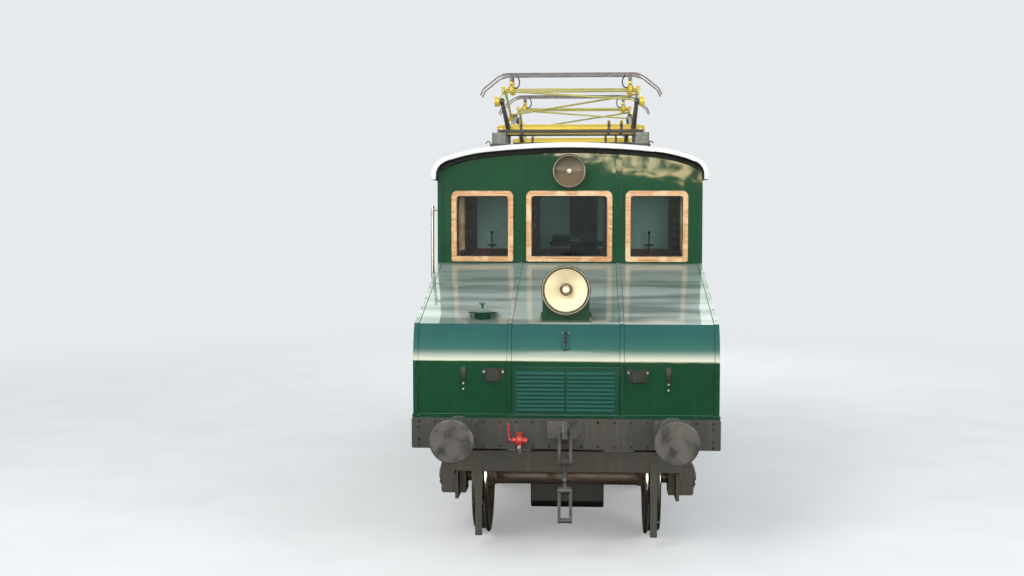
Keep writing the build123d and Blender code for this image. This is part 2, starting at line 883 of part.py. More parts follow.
def window_face(width, inset):
    """Window outline of the given width, moved in by inset, with rounder corners at the top."""
    with BuildSketch() as pane:
        Rectangle(width - 2 * inset, window_height - 2 * inset)
        fillet(pane.vertices().group_by(Axis.Y)[-1], radius=window_corner_top - inset / 2)
        fillet(pane.vertices().group_by(Axis.Y)[0], radius=window_corner_bottom - inset / 4)
    return pane.sketch


with BuildPart() as front_cab_wall:
    with BuildSketch(Plane.XZ.offset(half_cab - wall)):
        add(roof_arch(roof_sheet + seat_gap, deck_z))
    extrude(amount=wall)
    with BuildSketch(Plane.XZ.offset(half_cab - wall)):
        for window_x, window_width in end_windows:
            with Locations((window_x, window_mid_z)):
                add(window_face(window_width, -seat_gap))
    extrude(amount=wall, mode=Mode.SUBTRACT)
    # cover strips, corner posts and the belt under the windows
    with BuildSketch(Plane.XZ.offset(half_cab)):
        for side in (-1, 1):
            with Locations((side * wall_strip_x, belt_bottom_z)):
                Rectangle(wall_strip_width, wall_strip_top_z - belt_bottom_z, align=(Align.CENTER, Align.MIN))
            with Locations((side * (half_width - post_width / 2), belt_bottom_z)):
                Rectangle(post_width, roof_skirt_z - belt_bottom_z, align=(Align.CENTER, Align.MIN))
    extrude(amount=wall_strip_rise)
    with BuildSketch(Plane.XZ.offset(half_cab)):
        with Locations((0, (belt_bottom_z + belt_top_z) / 2)):
            Rectangle(body_width, belt_top_z - belt_bottom_z)
    extrude(amount=belt_rise)
write(front_cab_wall, "front_cab_wall")
with BuildPart() as rear_cab_wall:
    add(turned(front_cab_wall.part))
write(rear_cab_wall, "rear_cab_wall")

# The left wall has its door near the front end, the right wall near the rear end
side_half = half_cab - wall
door_front_y = -side_half + door_corner_gap
door_mid_y = door_front_y + door_width / 2
door_rear_y = door_front_y + door_width
door_bottom_z = deck_z + door_gap
side_pitch = 2 * abs(door_mid_y) / side_window_count
side_window_ys = [door_mid_y + place * side_pitch for place in range(1, side_window_count + 1)]
side_top_z = roof_skirt_z + skirt_lap
side_strip_ys = [window_y + side_pitch / 2 for window_y in side_window_ys[:-1]]
belt_start_y = door_rear_y + belt_door_gap
with BuildPart() as left_cab_wall:
    with BuildSketch(Plane.YZ.offset(-half_width)):
        with Locations((0, (deck_z + side_top_z) / 2)):
            Rectangle(2 * side_half, side_top_z - deck_z)
        with Locations((door_mid_y, deck_z)):
            Rectangle(
                door_width + 2 * door_gap,
                door_height + 2 * door_gap,
                align=(Align.CENTER, Align.MIN),
                mode=Mode.SUBTRACT,
            )
        for window_y in side_window_ys:
            with Locations((window_y, window_mid_z)):
                add(window_face(side_window_width, -seat_gap), mode=Mode.SUBTRACT)
    extrude(amount=wall)
    # belt behind the door, and cover strips on the panel joints below it
    with BuildSketch(Plane.YZ.offset(-half_width)):
        with Locations((side_half, belt_bottom_z)):
            Rectangle(side_half - belt_start_y, belt_top_z - belt_bottom_z, align=(Align.MAX, Align.MIN))
    extrude(amount=-belt_rise)
    with BuildSketch(Plane.YZ.offset(-half_width)):
        for strip_y in side_strip_ys:
            with Locations((strip_y, deck_z)):
                Rectangle(wall_strip_width, belt_bottom_z - deck_z, align=(Align.CENTER, Align.MIN))
    extrude(amount=-wall_strip_rise)
write(left_cab_wall, "left_cab_wall")
with BuildPart() as right_cab_wall:
    add(turned(left_cab_wall.part))
write(right_cab_wall, "right_cab_wall")

# Window frames of varnished wood, let into the walls and standing a little proud, and their panes
frame_depth_y = wall + frame_proud + frame_inside
with BuildPart() as front_frames:
    with BuildSketch(Plane.XZ.offset(half_cab - wall - frame_inside)):
        for window_x, window_width in end_windows:
            with Locations((window_x, window_mid_z)):
                add(window_face(window_width, 0))
                add(window_face(window_width, frame_bar), mode=Mode.SUBTRACT)
    extrude(amount=frame_depth_y)
with BuildPart() as left_frames:
    with BuildSketch(Plane.YZ.offset(-half_width - frame_proud)):
        for window_y in side_window_ys:
            with Locations((window_y, window_mid_z)):
                add(window_face(side_window_width, 0))
                add(window_face(side_window_width, frame_bar), mode=Mode.SUBTRACT)
    extrude(amount=frame_depth_y)
with BuildPart() as window_frames:
    for frames in (front_frames, left_frames):
        add(frames.part)
        add(turned(frames.part))
write(window_frames, "window_frames")

# Middle wall across the cab, with the same three windows as the ends
middle_wall = 40
with BuildPart() as cab_partition:
    with BuildSketch(Plane.XZ):
        add(roof_arch(roof_sheet + seat_gap, deck_z))
        with Locations((0, deck_z)):
            Rectangle(2 * (half_width - wall - seat_gap), roof_crown_z - deck_z,
                      align=(Align.CENTER, Align.MIN), mode=Mode.INTERSECT)
        for window_x, window_width in end_windows:
            with Locations((window_x, window_mid_z)):
                add(window_face(window_width, frame_bar), mode=Mode.SUBTRACT)
    extrude(amount=middle_wall / 2, both=True)
write(cab_partition, "cab_partition")

pane_inset = frame_bar + seat_gap
with BuildPart() as front_panes:
    with BuildSketch(Plane.XZ.offset(half_cab - wall / 2)):
        for window_x, window_width in end_windows:
            with Locations((window_x, window_mid_z)):
                add(window_face(window_width, pane_inset))
    extrude(amount=glass_thickness)
with BuildPart() as left_panes:
    with BuildSketch(Plane.YZ.offset(-half_width + wall / 2)):
        for window_y in side_window_ys:
            with Locations((window_y, window_mid_z)):
                add(window_face(side_window_width, pane_inset))
    extrude(amount=glass_thickness)
with BuildPart() as window_glass:
    for panes in (front_panes, left_panes):
        add(panes.part)
        add(turned(panes.part))
    with BuildSketch(Plane.XZ):
        for window_x, window_width in end_windows:
            with Locations((window_x, window_mid_z)):
                add(window_face(window_width, pane_inset))
    extrude(amount=glass_thickness / 2, both=True)
write(window_glass, "window_glass")

# Doors: hinged inside the wall at their rear edge, opening inwards
door_in_x = -half_width + wall
hinge_x = door_in_x + hinge_radius
hinge_y = door_rear_y + door_gap / 2
door_top_z = door_bottom_z + door_height
door_hinge_zs = [door_bottom_z + hinge_inset, door_bottom_z + door_height / 2, door_top_z - hinge_inset]
with BuildPart() as left_door:
    with BuildSketch(Plane.YZ.offset(door_in_x - door_thickness)):
        with Locations((door_mid_y, door_bottom_z)):
            Rectangle(door_width, door_height, align=(Align.CENTER, Align.MIN))
        with Locations((door_mid_y, window_mid_z)):
            add(window_face(door_window_width, 0), mode=Mode.SUBTRACT)
    extrude(amount=door_thickness)
    for hinge_z in door_hinge_zs:
        with Locations((hinge_x, hinge_y, hinge_z)):
            Cylinder(hinge_radius, hinge_height)
        with Locations((door_in_x, door_rear_y - hinge_leaf_back, hinge_z)):
            Box(*hinge_leaf, align=(Align.MIN, Align.CENTER, Align.CENTER))
    # turned handle on a round rose
    with Locations((door_in_x - door_thickness, door_front_y + handle_back, handle_z)):
        Cylinder(handle_rose_radius, handle_rose_depth, rotation=(0, 90, 0))
    with Locations((door_in_x - door_thickness - handle_grip_reach, door_front_y + handle_back, handle_z)):
        Box(*handle_grip, align=(Align.CENTER, Align.CENTER, Align.MAX))
with BuildPart() as right_door:
    add(turned(left_door.part))
with BuildPart() as left_door_glass:
    with BuildSketch(Plane.YZ.offset(door_in_x - door_thickness / 2)):
        with Locations((door_mid_y, window_mid_z)):
            add(window_face(door_window_width, seat_gap))
    extrude(amount=glass_thickness)
with BuildPart() as right_door_glass:
    add(turned(left_door_glass.part))
for door_piece, door_name in (
    (left_door, "left_door"),
    (right_door, "right_door"),
    (left_door_glass, "left_door_glass"),
    (right_door_glass, "right_door_glass"),
):
    write(door_piece, door_name)

# Cab fittings seen through the windows: a cupboard on each face of the middle wall, control stands, stools
cabinet_height = 1950
cabinet_width = 306
cabinet_depth = 400
cabinet_x = 132
cabinet_chamfer = 18
stand_x = 640
stand_back = 250
stand_y = -half_cab + wall + stand_back
stand_width = 420
stand_depth = 320
stand_height = 1120
stand_corner = 60
wheel_post_radius = 28
wheel_post_height = 60
handwheel_radius = 160
handwheel_rim = 24
handwheel_spoke = 26
handwheel_thickness = 22
handwheel_hub_radius = 34
stool_x = 640
stool_back = 780
stool_y = -half_cab + wall + stool_back
stool_foot_radius = 170
stool_foot_height = 16
stool_post_radius = 32
stool_height = 560
stool_seat_radius = 185
stool_seat_thickness = 60
stool_seat_round = 22
with BuildPart() as front_cabinet:
    with Locations((cabinet_x, -middle_wall / 2, deck_z)):
        Box(cabinet_width, cabinet_depth, cabinet_height, align=(Align.CENTER, Align.MAX, Align.MIN))
    chamfer(front_cabinet.faces().sort_by(Axis.Y)[0].edges(), length=cabinet_chamfer)
with BuildPart() as control_cabinet:
    add(front_cabinet.part)
    add(turned(front_cabinet.part))
write(control_cabinet, "control_cabinet")
with BuildPart() as front_stand:
    with BuildSketch(Plane.XY.offset(deck_z)):
        with Locations((stand_x, stand_y)):
            RectangleRounded(stand_width, stand_depth, stand_corner)
    extrude(amount=stand_height)
    with Locations((stand_x, stand_y, deck_z + stand_height)):
        Cylinder(wheel_post_radius, wheel_post_height, align=(Align.CENTER, Align.CENTER, Align.MIN))
    with BuildSketch(Plane.XY.offset(deck_z + stand_height + wheel_post_height)):
        with Locations((stand_x, stand_y)):
            Circle(handwheel_radius)
            Circle(handwheel_radius - handwheel_rim, mode=Mode.SUBTRACT)
            Rectangle(2 * handwheel_radius - handwheel_rim, handwheel_spoke)
            Rectangle(handwheel_spoke, 2 * handwheel_radius - handwheel_rim)
            Circle(handwheel_hub_radius)
    extrude(amount=handwheel_thickness)
with BuildPart() as control_stands:
    add(front_stand.part)
    add(turned(front_stand.part))
write(control_stands, "control_stands")
with BuildPart() as front_stool:
    with Locations((stool_x, stool_y, deck_z)):
        Cylinder(stool_foot_radius, stool_foot_height, align=(Align.CENTER, Align.CENTER, Align.MIN))
        Cylinder(stool_post_radius, stool_height, align=(Align.CENTER, Align.CENTER, Align.MIN))
    with Locations((stool_x, stool_y, deck_z + stool_height)):
        Cylinder(stool_seat_radius, stool_seat_thickness, align=(Align.CENTER, Align.CENTER, Align.MIN))
    fillet(front_stool.edges().group_by(Axis.Z)[-1], radius=stool_seat_round)
with BuildPart() as driver_stools:
    add(front_stool.part)
    add(turned(front_stool.part))
write(driver_stools, "driver_stools")

# Steps and handrails at each doorway: two treads between hanger plates, an upright rail on each side
step_half = 260
step_plate = 14
step_in_x = 1185
step_out_x = 1300
step_toe = 60
hanger_lap = 40
tread_thickness = 24
tread_rise = 318
step_bottom_z = rail_top + 420
low_tread_z = step_bottom_z + tread_thickness / 2
tread_zs = (low_tread_z, low_tread_z + tread_rise)
rail_radius = 15
rail_reach = 62
rail_door_gap = 62
rail_length = 1500
rail_foot_inset = 40
rail_foot_radius = 11
rail_rose_radius = 24
rail_rose_thickness = 8
rail_bottom_z = deck_z + 250
with BuildPart() as left_steps:
    for end in (-1, 1):
        with BuildSketch(Plane.XZ.offset(-(door_mid_y + end * step_half))):
            with BuildLine():
                Polyline(
                    (-sole_bar_x, under_deck_z),
                    (-sole_bar_x, frame_bottom_z - hanger_lap),
                    (-step_in_x, step_bottom_z),
                    (-step_out_x, step_bottom_z),
                    (-step_out_x, step_bottom_z + step_toe),
                    (-half_width, under_deck_z),
                    close=True,
                )
            make_face()
        extrude(amount=step_plate / 2, both=True)
    for tread_z in tread_zs:
        with Locations((-(step_out_x + step_in_x) / 2, door_mid_y, tread_z)):
            Box(step_out_x - step_in_x, 2 * step_half, tread_thickness)
with BuildPart() as cab_steps:
    add(left_steps.part)
    add(turned(left_steps.part))
write(cab_steps, "cab_steps")
with BuildPart() as left_rails:
    for end in (-1, 1):
        rail_y = door_mid_y + end * (door_width / 2 + rail_door_gap)
        with Locations((-half_width - rail_reach, rail_y, rail_bottom_z)):
            Cylinder(rail_radius, rail_length, align=(Align.CENTER, Align.CENTER, Align.MIN))
        for rail_foot_z in (rail_bottom_z + rail_foot_inset, rail_bottom_z + rail_length - rail_foot_inset):
            with Locations((-half_width, rail_y, rail_foot_z)):
                for foot_radius, foot_length in (
                    (rail_foot_radius, rail_reach),
                    (rail_rose_radius, rail_rose_thickness),
                ):
                    Cylinder(foot_radius, foot_length, rotation=(0, -90, 0),
                             align=(Align.CENTER, Align.CENTER, Align.MIN))
with BuildPart() as handrails:
    add(left_rails.part)
    add(turned(left_rails.part))
write(handrails, "handrails")

# Air tanks between the bogies, hung from the deck by straps
tank_radius = 165
tank_half = 400
tank_x = 620
tank_drop = 30
tank_z = frame_bottom_z - tank_drop
tank_dome = 60
tank_strap_width = 60
tank_strap = 8
tank_hanger_width = 70
tank_strap_ys = (-260, 260)
with BuildPart() as one_tank:
    with BuildSketch(Plane.YZ):
        with BuildLine():
            dome_end = dome_points(tank_half - tank_dome, tank_z, tank_radius, tank_dome)
            dome_start = [(-y, z) for y, z in dome_end]
            ThreePointArc(*dome_start)
            Line(dome_start[0], dome_end[0])
            ThreePointArc(*dome_end)
            Line(dome_end[2], dome_start[2])
        make_face()
    revolve(axis=Axis((0, 0, tank_z), (0, 1, 0)))
    for strap_y in tank_strap_ys:
        with BuildSketch(Plane.XZ.offset(-strap_y)):
            with Locations((0, tank_z)):
                Circle(tank_radius + tank_strap)
            with Locations((0, under_deck_z)):
                Rectangle(tank_hanger_width, under_deck_z - tank_z, align=(Align.CENTER, Align.MAX))
        extrude(amount=tank_strap_width / 2, both=True)
with BuildPart() as air_tanks:
    for side in (-1, 1):
        with Locations((side * tank_x, 0, 0)):
            add(one_tank.part)
write(air_tanks, "air_tanks")

# Bogies, drawn about their own pivot and then set under each bolster
pivot_half = pivot_spacing / 2
plate_bottom_z = bogie_plate_top_z - bogie_plate_depth
end_beam_drop = 90
end_beam_height = 180
end_beam_z = bogie_plate_top_z - end_beam_drop
box_top_z = axle_z + axle_box_height / 2
pedestal_bottom_z = axle_z - axle_box_height / 2 - pedestal_stay
transom_width = 300
transom_depth = 260
transom_bottom_z = bogie_plate_top_z - transom_depth
dish_top_z = frame_bottom_z - pivot_dish_height - seat_gap
axle_ys = (-wheelbase / 2, wheelbase / 2)
brake_block_reach = wheel_radius + brake_gap + brake_block_depth
brake_hanger_depth = bogie_half_length - bogie_plate - wheelbase / 2 - brake_block_reach + hanger_sink
spring_bottom_z = box_top_z + spring_seat
hanger_z = spring_bottom_z + spring_leaves * spring_leaf + spring_half_span**2 / (2 * spring_radius)
with BuildPart() as bogie_frame:
    for side in (-1, 1):
        with BuildSketch(Plane.YZ.offset(side * (bogie_plate_x + bogie_plate / 2))):
            with Locations((0, (bogie_plate_top_z + plate_bottom_z) / 2)):
                Rectangle(2 * bogie_half_length, bogie_plate_depth)
            for axle_y in axle_ys:
                with Locations((axle_y, pedestal_bottom_z)):
                    Rectangle(pedestal_width, bogie_plate_top_z - pedestal_bottom_z,
                              align=(Align.CENTER, Align.MIN))
            for axle_y in axle_ys:
                with Locations((axle_y, pedestal_bottom_z + pedestal_stay)):
                    Rectangle(axle_box_width, box_top_z + box_play - pedestal_bottom_z - pedestal_stay,
                              align=(Align.CENTER, Align.MIN), mode=Mode.SUBTRACT)
        extrude(amount=bogie_plate / 2, both=True)
        # the spring hangers, under which the top leaves bear
        for axle_y in axle_ys:
            for end in (-1, 1):
                hanger_y = axle_y + end * spring_half_span
                with Locations((side * (bogie_plate_x + bogie_plate), hanger_y, hanger_z)):
                    Box(*hanger, align=(Align.MIN if side > 0 else Align.MAX, Align.CENTER, Align.MIN))
    for end in (-1, 1):
        with Locations((0, end * (bogie_half_length - bogie_plate / 2), end_beam_z)):
            Box(2 * bogie_plate_x, bogie_plate, end_beam_height)
    # brake blocks on their hangers outside the wheels, and the rail guards ahead of them
    for end in (-1, 1):
        wheel_y = end * wheelbase / 2
        for side in (-1, 1):
            with BuildSketch(Plane.YZ.offset(side * (brake_block_in_x + brake_block_out_x) / 2)):
                with Locations((wheel_y, axle_z)):
                    Circle(wheel_radius + brake_gap + brake_block_depth)
                    Circle(wheel_radius + brake_gap, mode=Mode.SUBTRACT)
                with Locations((wheel_y + end * brake_block_reach / 2, axle_z)):
                    Rectangle(brake_block_reach, 2 * brake_block_half, mode=Mode.INTERSECT)
            extrude(amount=(brake_block_out_x - brake_block_in_x) / 2, both=True)
            with Locations((side * (brake_block_in_x + brake_block_out_x) / 2,
                            end * (bogie_half_length - bogie_plate), axle_z - brake_block_half / 2)):
                Box(brake_hanger_width, brake_hanger_depth, end_beam_z - axle_z + brake_block_half / 2,
                    align=(Align.CENTER, Align.MAX if end > 0 else Align.MIN, Align.MIN))
            with Locations((side * rail_guard_x, end * bogie_half_length, rail_guard_bottom_z)):
                Box(rail_guard_width, rail_guard_thickness, end_beam_z - rail_guard_bottom_z,
                    align=(Align.CENTER, Align.MIN if end > 0 else Align.MAX, Align.MIN))
    with Locations((0, 0, (bogie_plate_top_z + transom_bottom_z) / 2)):
        Box(2 * bogie_plate_x, transom_width, bogie_plate_top_z - transom_bottom_z)
    with Locations((0, 0, bogie_plate_top_z)):
        Cylinder(pivot_dish_radius, dish_top_z - bogie_plate_top_z,
                 align=(Align.CENTER, Align.CENTER, Align.MIN))
    with Locations((0, 0, transom_bottom_z)):
        Cylinder(pivot_radius + running_clearance, dish_top_z - transom_bottom_z,
                 align=(Align.CENTER, Align.CENTER, Align.MIN), mode=Mode.SUBTRACT)

# Axle boxes in the pedestals, each with its leaf spring and buckle on top
with BuildPart() as one_box:
    with Locations((axle_box_in_x, 0, axle_z)):
        Box(axle_box_out_x - axle_box_in_x, axle_box_width, axle_box_height,
            align=(Align.MIN, Align.CENTER, Align.CENTER))
    fillet(one_box.faces().sort_by(Axis.X)[-1].edges(), radius=axle_box_round)
    with Locations((axle_box_out_x, 0, axle_z)):
        Cylinder(box_lid_radius, box_lid_thickness, rotation=(0, 90, 0),
                 align=(Align.CENTER, Align.CENTER, Align.MIN))
        Cylinder(box_lid_radius / 3, 2 * box_lid_thickness, rotation=(0, 90, 0),
                 align=(Align.CENTER, Align.CENTER, Align.MIN))
    with BuildSketch(Plane.YZ.offset(axle_box_in_x)):
        with Locations((0, axle_z)):
            Circle(journal_radius + running_clearance)
    extrude(amount=journal_end_x + journal_end_gap - axle_box_in_x, mode=Mode.SUBTRACT)
    with Locations((spring_x, 0, box_top_z)):
        Box(*spring_buckle, align=(Align.CENTER, Align.CENTER, Align.MIN))
    for leaf in range(spring_leaves):
        half_span = spring_half_span - (spring_leaves - 1 - leaf) * spring_step
        low_z = spring_bottom_z + leaf * spring_leaf
        rise = half_span**2 / (2 * spring_radius)
        with BuildSketch(Plane.YZ.offset(spring_x)):
            with BuildLine():
                under = ThreePointArc((-half_span, low_z + rise), (0, low_z), (half_span, low_z + rise))
                over = ThreePointArc(
                    (half_span, low_z + rise + spring_leaf), (0, low_z + spring_leaf),
                    (-half_span, low_z + rise + spring_leaf),
                )
                Line(under @ 1, over @ 0)
                Line(over @ 1, under @ 0)
            make_face()
        extrude(amount=spring_width / 2, both=True)
with BuildPart() as axle_boxes:
    for axle_y in axle_ys:
        with Locations((0, axle_y, 0)):
            add(one_box.part)
            add(one_box.part.mirror(Plane.YZ))

# Traction motors: heavy closed machines, one plain block each, hung between transom and axle
with BuildPart() as motors:
    for end in (-1, 1):
        motor_near = transom_width / 2
        motor_far = wheelbase / 2 - axle_radius - motor_axle_gap
        with Locations((0, end * (motor_near + motor_far) / 2, (motor_bottom_z + motor_top_z) / 2)):
            Box(motor_width, motor_far - motor_near, motor_top_z - motor_bottom_z)
    chamfer(motors.edges().filter_by(Axis.X), length=motor_chamfer)

# Wheelsets: axle with its journals and two spoked wheels
wheel_back = wheel_back_gauge / 2
wheel_face = wheel_back + tyre_width
rim_inner = wheel_radius - tyre_depth - rim_depth
hub_in = wheel_back + (tyre_width - wheel_hub_width) / 2
with BuildPart() as wheelset:
    with BuildSketch(Plane.XY):
        with BuildLine():
            Polyline(
                (0, 0),
                (0, axle_radius - axle_waist),
                (hub_in - 2 * axle_waist_run, axle_radius - axle_waist),
                (hub_in - axle_waist_run, axle_radius),
                (hub_in + wheel_hub_width + axle_collar, axle_radius),
                (hub_in + wheel_hub_width + axle_collar, journal_radius),
                (journal_end_x, journal_radius),
                (journal_end_x, 0),
                close=True,
            )
        make_face()
        with BuildLine():
            Polyline(
                (wheel_back, rim_inner),
                (wheel_back, wheel_radius + flange_height - flange_root),
                (wheel_back + flange_side, wheel_radius + flange_height),
                (wheel_back + 2 * flange_side, wheel_radius + flange_height),
                (wheel_back + flange_thickness, wheel_radius + flange_root),
                (wheel_back + flange_thickness + flange_side, wheel_radius),
                (wheel_face - tread_bevel, wheel_radius - tread_fall),
                (wheel_face, wheel_radius - tread_edge),
                (wheel_face, rim_inner),
                close=True,
            )
        make_face()
        with Locations((hub_in + wheel_hub_width / 2, (axle_radius + wheel_hub_radius) / 2)):
            Rectangle(wheel_hub_width, wheel_hub_radius - axle_radius)
    revolve(axis=Axis.X)
    with BuildSketch(Plane.YZ.offset(wheel_back + tyre_width / 2)):
        with PolarLocations((wheel_hub_radius + rim_inner) / 2, spoke_count):
            Rectangle(rim_inner - wheel_hub_radius + 2 * spoke_sink, spoke_width)
    extrude(amount=spoke_thickness / 2, both=True)
    mirror(about=Plane.YZ)

for end, end_name in ((-1, "front"), (1, "rear")):
    for bogie_piece, piece_name in (
        (bogie_frame, "bogie_frame"),
        (axle_boxes, "axle_boxes"),
        (motors, "traction_motors"),
    ):
        with BuildPart() as placed:
            with Locations((0, end * pivot_half, 0)):
                add(bogie_piece.part)
        write(placed, f"{end_name}_{piece_name}")
wheelset_ys = [end * pivot_half + axle_y for end in (-1, 1) for axle_y in axle_ys]
for number, wheelset_y in enumerate(wheelset_ys, start=1):
    with BuildPart() as placed:
        with Locations((0, wheelset_y, axle_z)):
            add(wheelset.part)
    write(placed, f"wheelset_{number}")

# Pantograph bases: black feet on the roof, insulators, and a frame with the shafts' bearings
roof_at_insulator = roof_crown_z - roof_crown_radius + sqrt(roof_crown_radius**2 - insulator_x**2)
foot_rise = 55
foot_top_z = roof_at_insulator + foot_rise
foot_rim = 12
foot_depth = 120
insulator_corner = 30
groove_height = 8
groove_depth = 9
side_bar_lap = 60
cross_bar_width = 50
insulator_top_z = foot_top_z + insulator_height
base_bar = 30
bearing_width = 36
bearing_half = 40
with BuildPart() as feet_block:
    with BuildSketch(Plane.XY.offset(foot_top_z)):
        for side in (-1, 1):
            for end in (-1, 1):
                with Locations((side * insulator_x, end * insulator_y)):
                    Rectangle(insulator_side + 2 * foot_rim, insulator_side + 2 * foot_rim)
    extrude(amount=-foot_depth)
    with BuildSketch(Plane.XZ):
        add(roof_arch(-seat_gap, roof_skirt_z))
    extrude(amount=insulator_y + insulator_side, both=True, mode=Mode.SUBTRACT)
with BuildPart() as insulator_set:
    with BuildSketch(Plane.XY.offset(foot_top_z)):
        for side in (-1, 1):
            for end in (-1, 1):
                with Locations((side * insulator_x, end * insulator_y)):
                    RectangleRounded(insulator_side, insulator_side, insulator_corner)
    extrude(amount=insulator_height)
    # two grooves round each insulator make its sheds
    for groove in (1, 2):
        with BuildSketch(Plane.XY.offset(foot_top_z + groove * insulator_height / 3 - groove_height / 2)):
            for side in (-1, 1):
                for end in (-1, 1):
                    with Locations((side * insulator_x, end * insulator_y)):
                        Rectangle(insulator_side, insulator_side)
                        RectangleRounded(insulator_side - 2 * groove_depth, insulator_side - 2 * groove_depth,
                                         insulator_corner - groove_depth, mode=Mode.SUBTRACT)
        extrude(amount=groove_height, mode=Mode.SUBTRACT)
bar_top_z = insulator_top_z + base_bar
with BuildPart() as base_frame:
    with BuildSketch(Plane.XY.offset(insulator_top_z)):
        for side in (-1, 1):
            with Locations((side * bearing_x, 0)):
                Rectangle(bearing_width, 2 * (insulator_y + side_bar_lap))
        for end in (-1, 1):
            with Locations((0, end * insulator_y)):
                Rectangle(2 * bearing_x, cross_bar_width)
    extrude(amount=base_bar)
    for side in (-1, 1):
        with BuildSketch(Plane.YZ.offset(side * bearing_x)):
            for end in (-1, 1):
                with Locations((end * shaft_offset, bar_top_z)):
                    Rectangle(2 * bearing_half, pantograph_shaft_z - bar_top_z,
                              align=(Align.CENTER, Align.MIN))
                with Locations((end * shaft_offset, pantograph_shaft_z)):
                    Circle(bearing_half)
            for end in (-1, 1):
                with Locations((end * shaft_offset, pantograph_shaft_z)):
                    Circle(shaft_stub_radius + running_clearance, mode=Mode.SUBTRACT)
        extrude(amount=bearing_width / 2, both=True)

# Pantograph frames at rest. Both pairs of arms are equally long and pivot on like centres, so that the
# upper arms always slope as the lower ones do and the head stays level.
rest = radians(arm_rest_angle)
knee_y = shaft_offset + arm_length * cos(rest)
knee_z = pantograph_shaft_z + arm_length * sin(rest)
apex_z = knee_z + arm_length * sin(rest)
knee_pin_radius = 15
apex_shaft_radius = 10
apex_boss_radius = 30
apex_boss_half = 22
arm_root_radius = 27
arm_tip_radius = 18
knee_eye_radius = 34
knee_half = 20
knee_play = 5
knee_pin_reach = 28
knee_drum_radius = 46
knee_drum_half = 24
upper_tube_radius = 14
brace_radius = 10
brace_high = 110
brace_low = 90
cap_width = 20
cap_radius = 34
bearing_play = 6
tube_end_x = bearing_x - bearing_width / 2 - bearing_play
stub_end_x = bearing_x + bearing_width / 2 + bearing_play + cap_width


def crosswise(y, z, from_x, to_x, radius):
    """Round bar that lies across the locomotive at the given place."""
    return rod((from_x, y, z), (to_x, y, z), radius)


with BuildPart() as lower_frame:
    add(crosswise(-shaft_offset, pantograph_shaft_z, -tube_end_x, tube_end_x, shaft_tube_radius))
    add(crosswise(-shaft_offset, pantograph_shaft_z, -stub_end_x, stub_end_x, shaft_stub_radius))
    for side in (-1, 1):
        # end caps outside the bearings
        add(crosswise(-shaft_offset, pantograph_shaft_z, side * (stub_end_x - cap_width), side * stub_end_x,
                      cap_radius))
        # tapered arm up to the knee's eye
        for arm_y, arm_z, arm_radius in (
            (-shaft_offset, pantograph_shaft_z, arm_root_radius),
            (-knee_y, knee_z, arm_tip_radius),
        ):
            with BuildSketch(Plane(origin=(side * arm_x, arm_y, arm_z), z_dir=(0, -cos(rest), sin(rest)))):
                Circle(arm_radius)
        loft()
        add(crosswise(-knee_y, knee_z, side * (arm_x - knee_half), side * (arm_x + knee_half),
                      knee_eye_radius))
        with BuildSketch(Plane.YZ.offset(side * arm_x)):
            with Locations((-knee_y, knee_z)):
                Circle(knee_pin_radius + running_clearance)
        extrude(amount=2 * knee_half, both=True, mode=Mode.SUBTRACT)


with BuildPart() as upper_frame:
    for side in (-1, 1):
        drum_in = side * (arm_x + knee_half + knee_play)
        drum_out = side * (upper_x + knee_drum_half)
        add(crosswise(-knee_y, knee_z, side * (arm_x - knee_pin_reach), side * upper_x, knee_pin_radius))
        add(crosswise(-knee_y, knee_z, drum_in, drum_out, knee_drum_radius))
        add(rod((side * upper_x, -knee_y, knee_z), (side * upper_x, -shaft_offset, apex_z),
                upper_tube_radius))
        add(crosswise(-shaft_offset, apex_z, side * (upper_x - apex_boss_half),
                      side * (upper_x + apex_boss_half), apex_boss_radius))
    add(crosswise(-shaft_offset, apex_z, -upper_x, upper_x, apex_shaft_radius))
    # a brace from the left apex down to the right knee
    add(rod(
        (-upper_x, -shaft_offset - brace_high * cos(rest), apex_z - brace_high * sin(rest)),
        (upper_x, -knee_y + brace_low * cos(rest), knee_z + brace_low * sin(rest)),
        brace_radius,
    ))

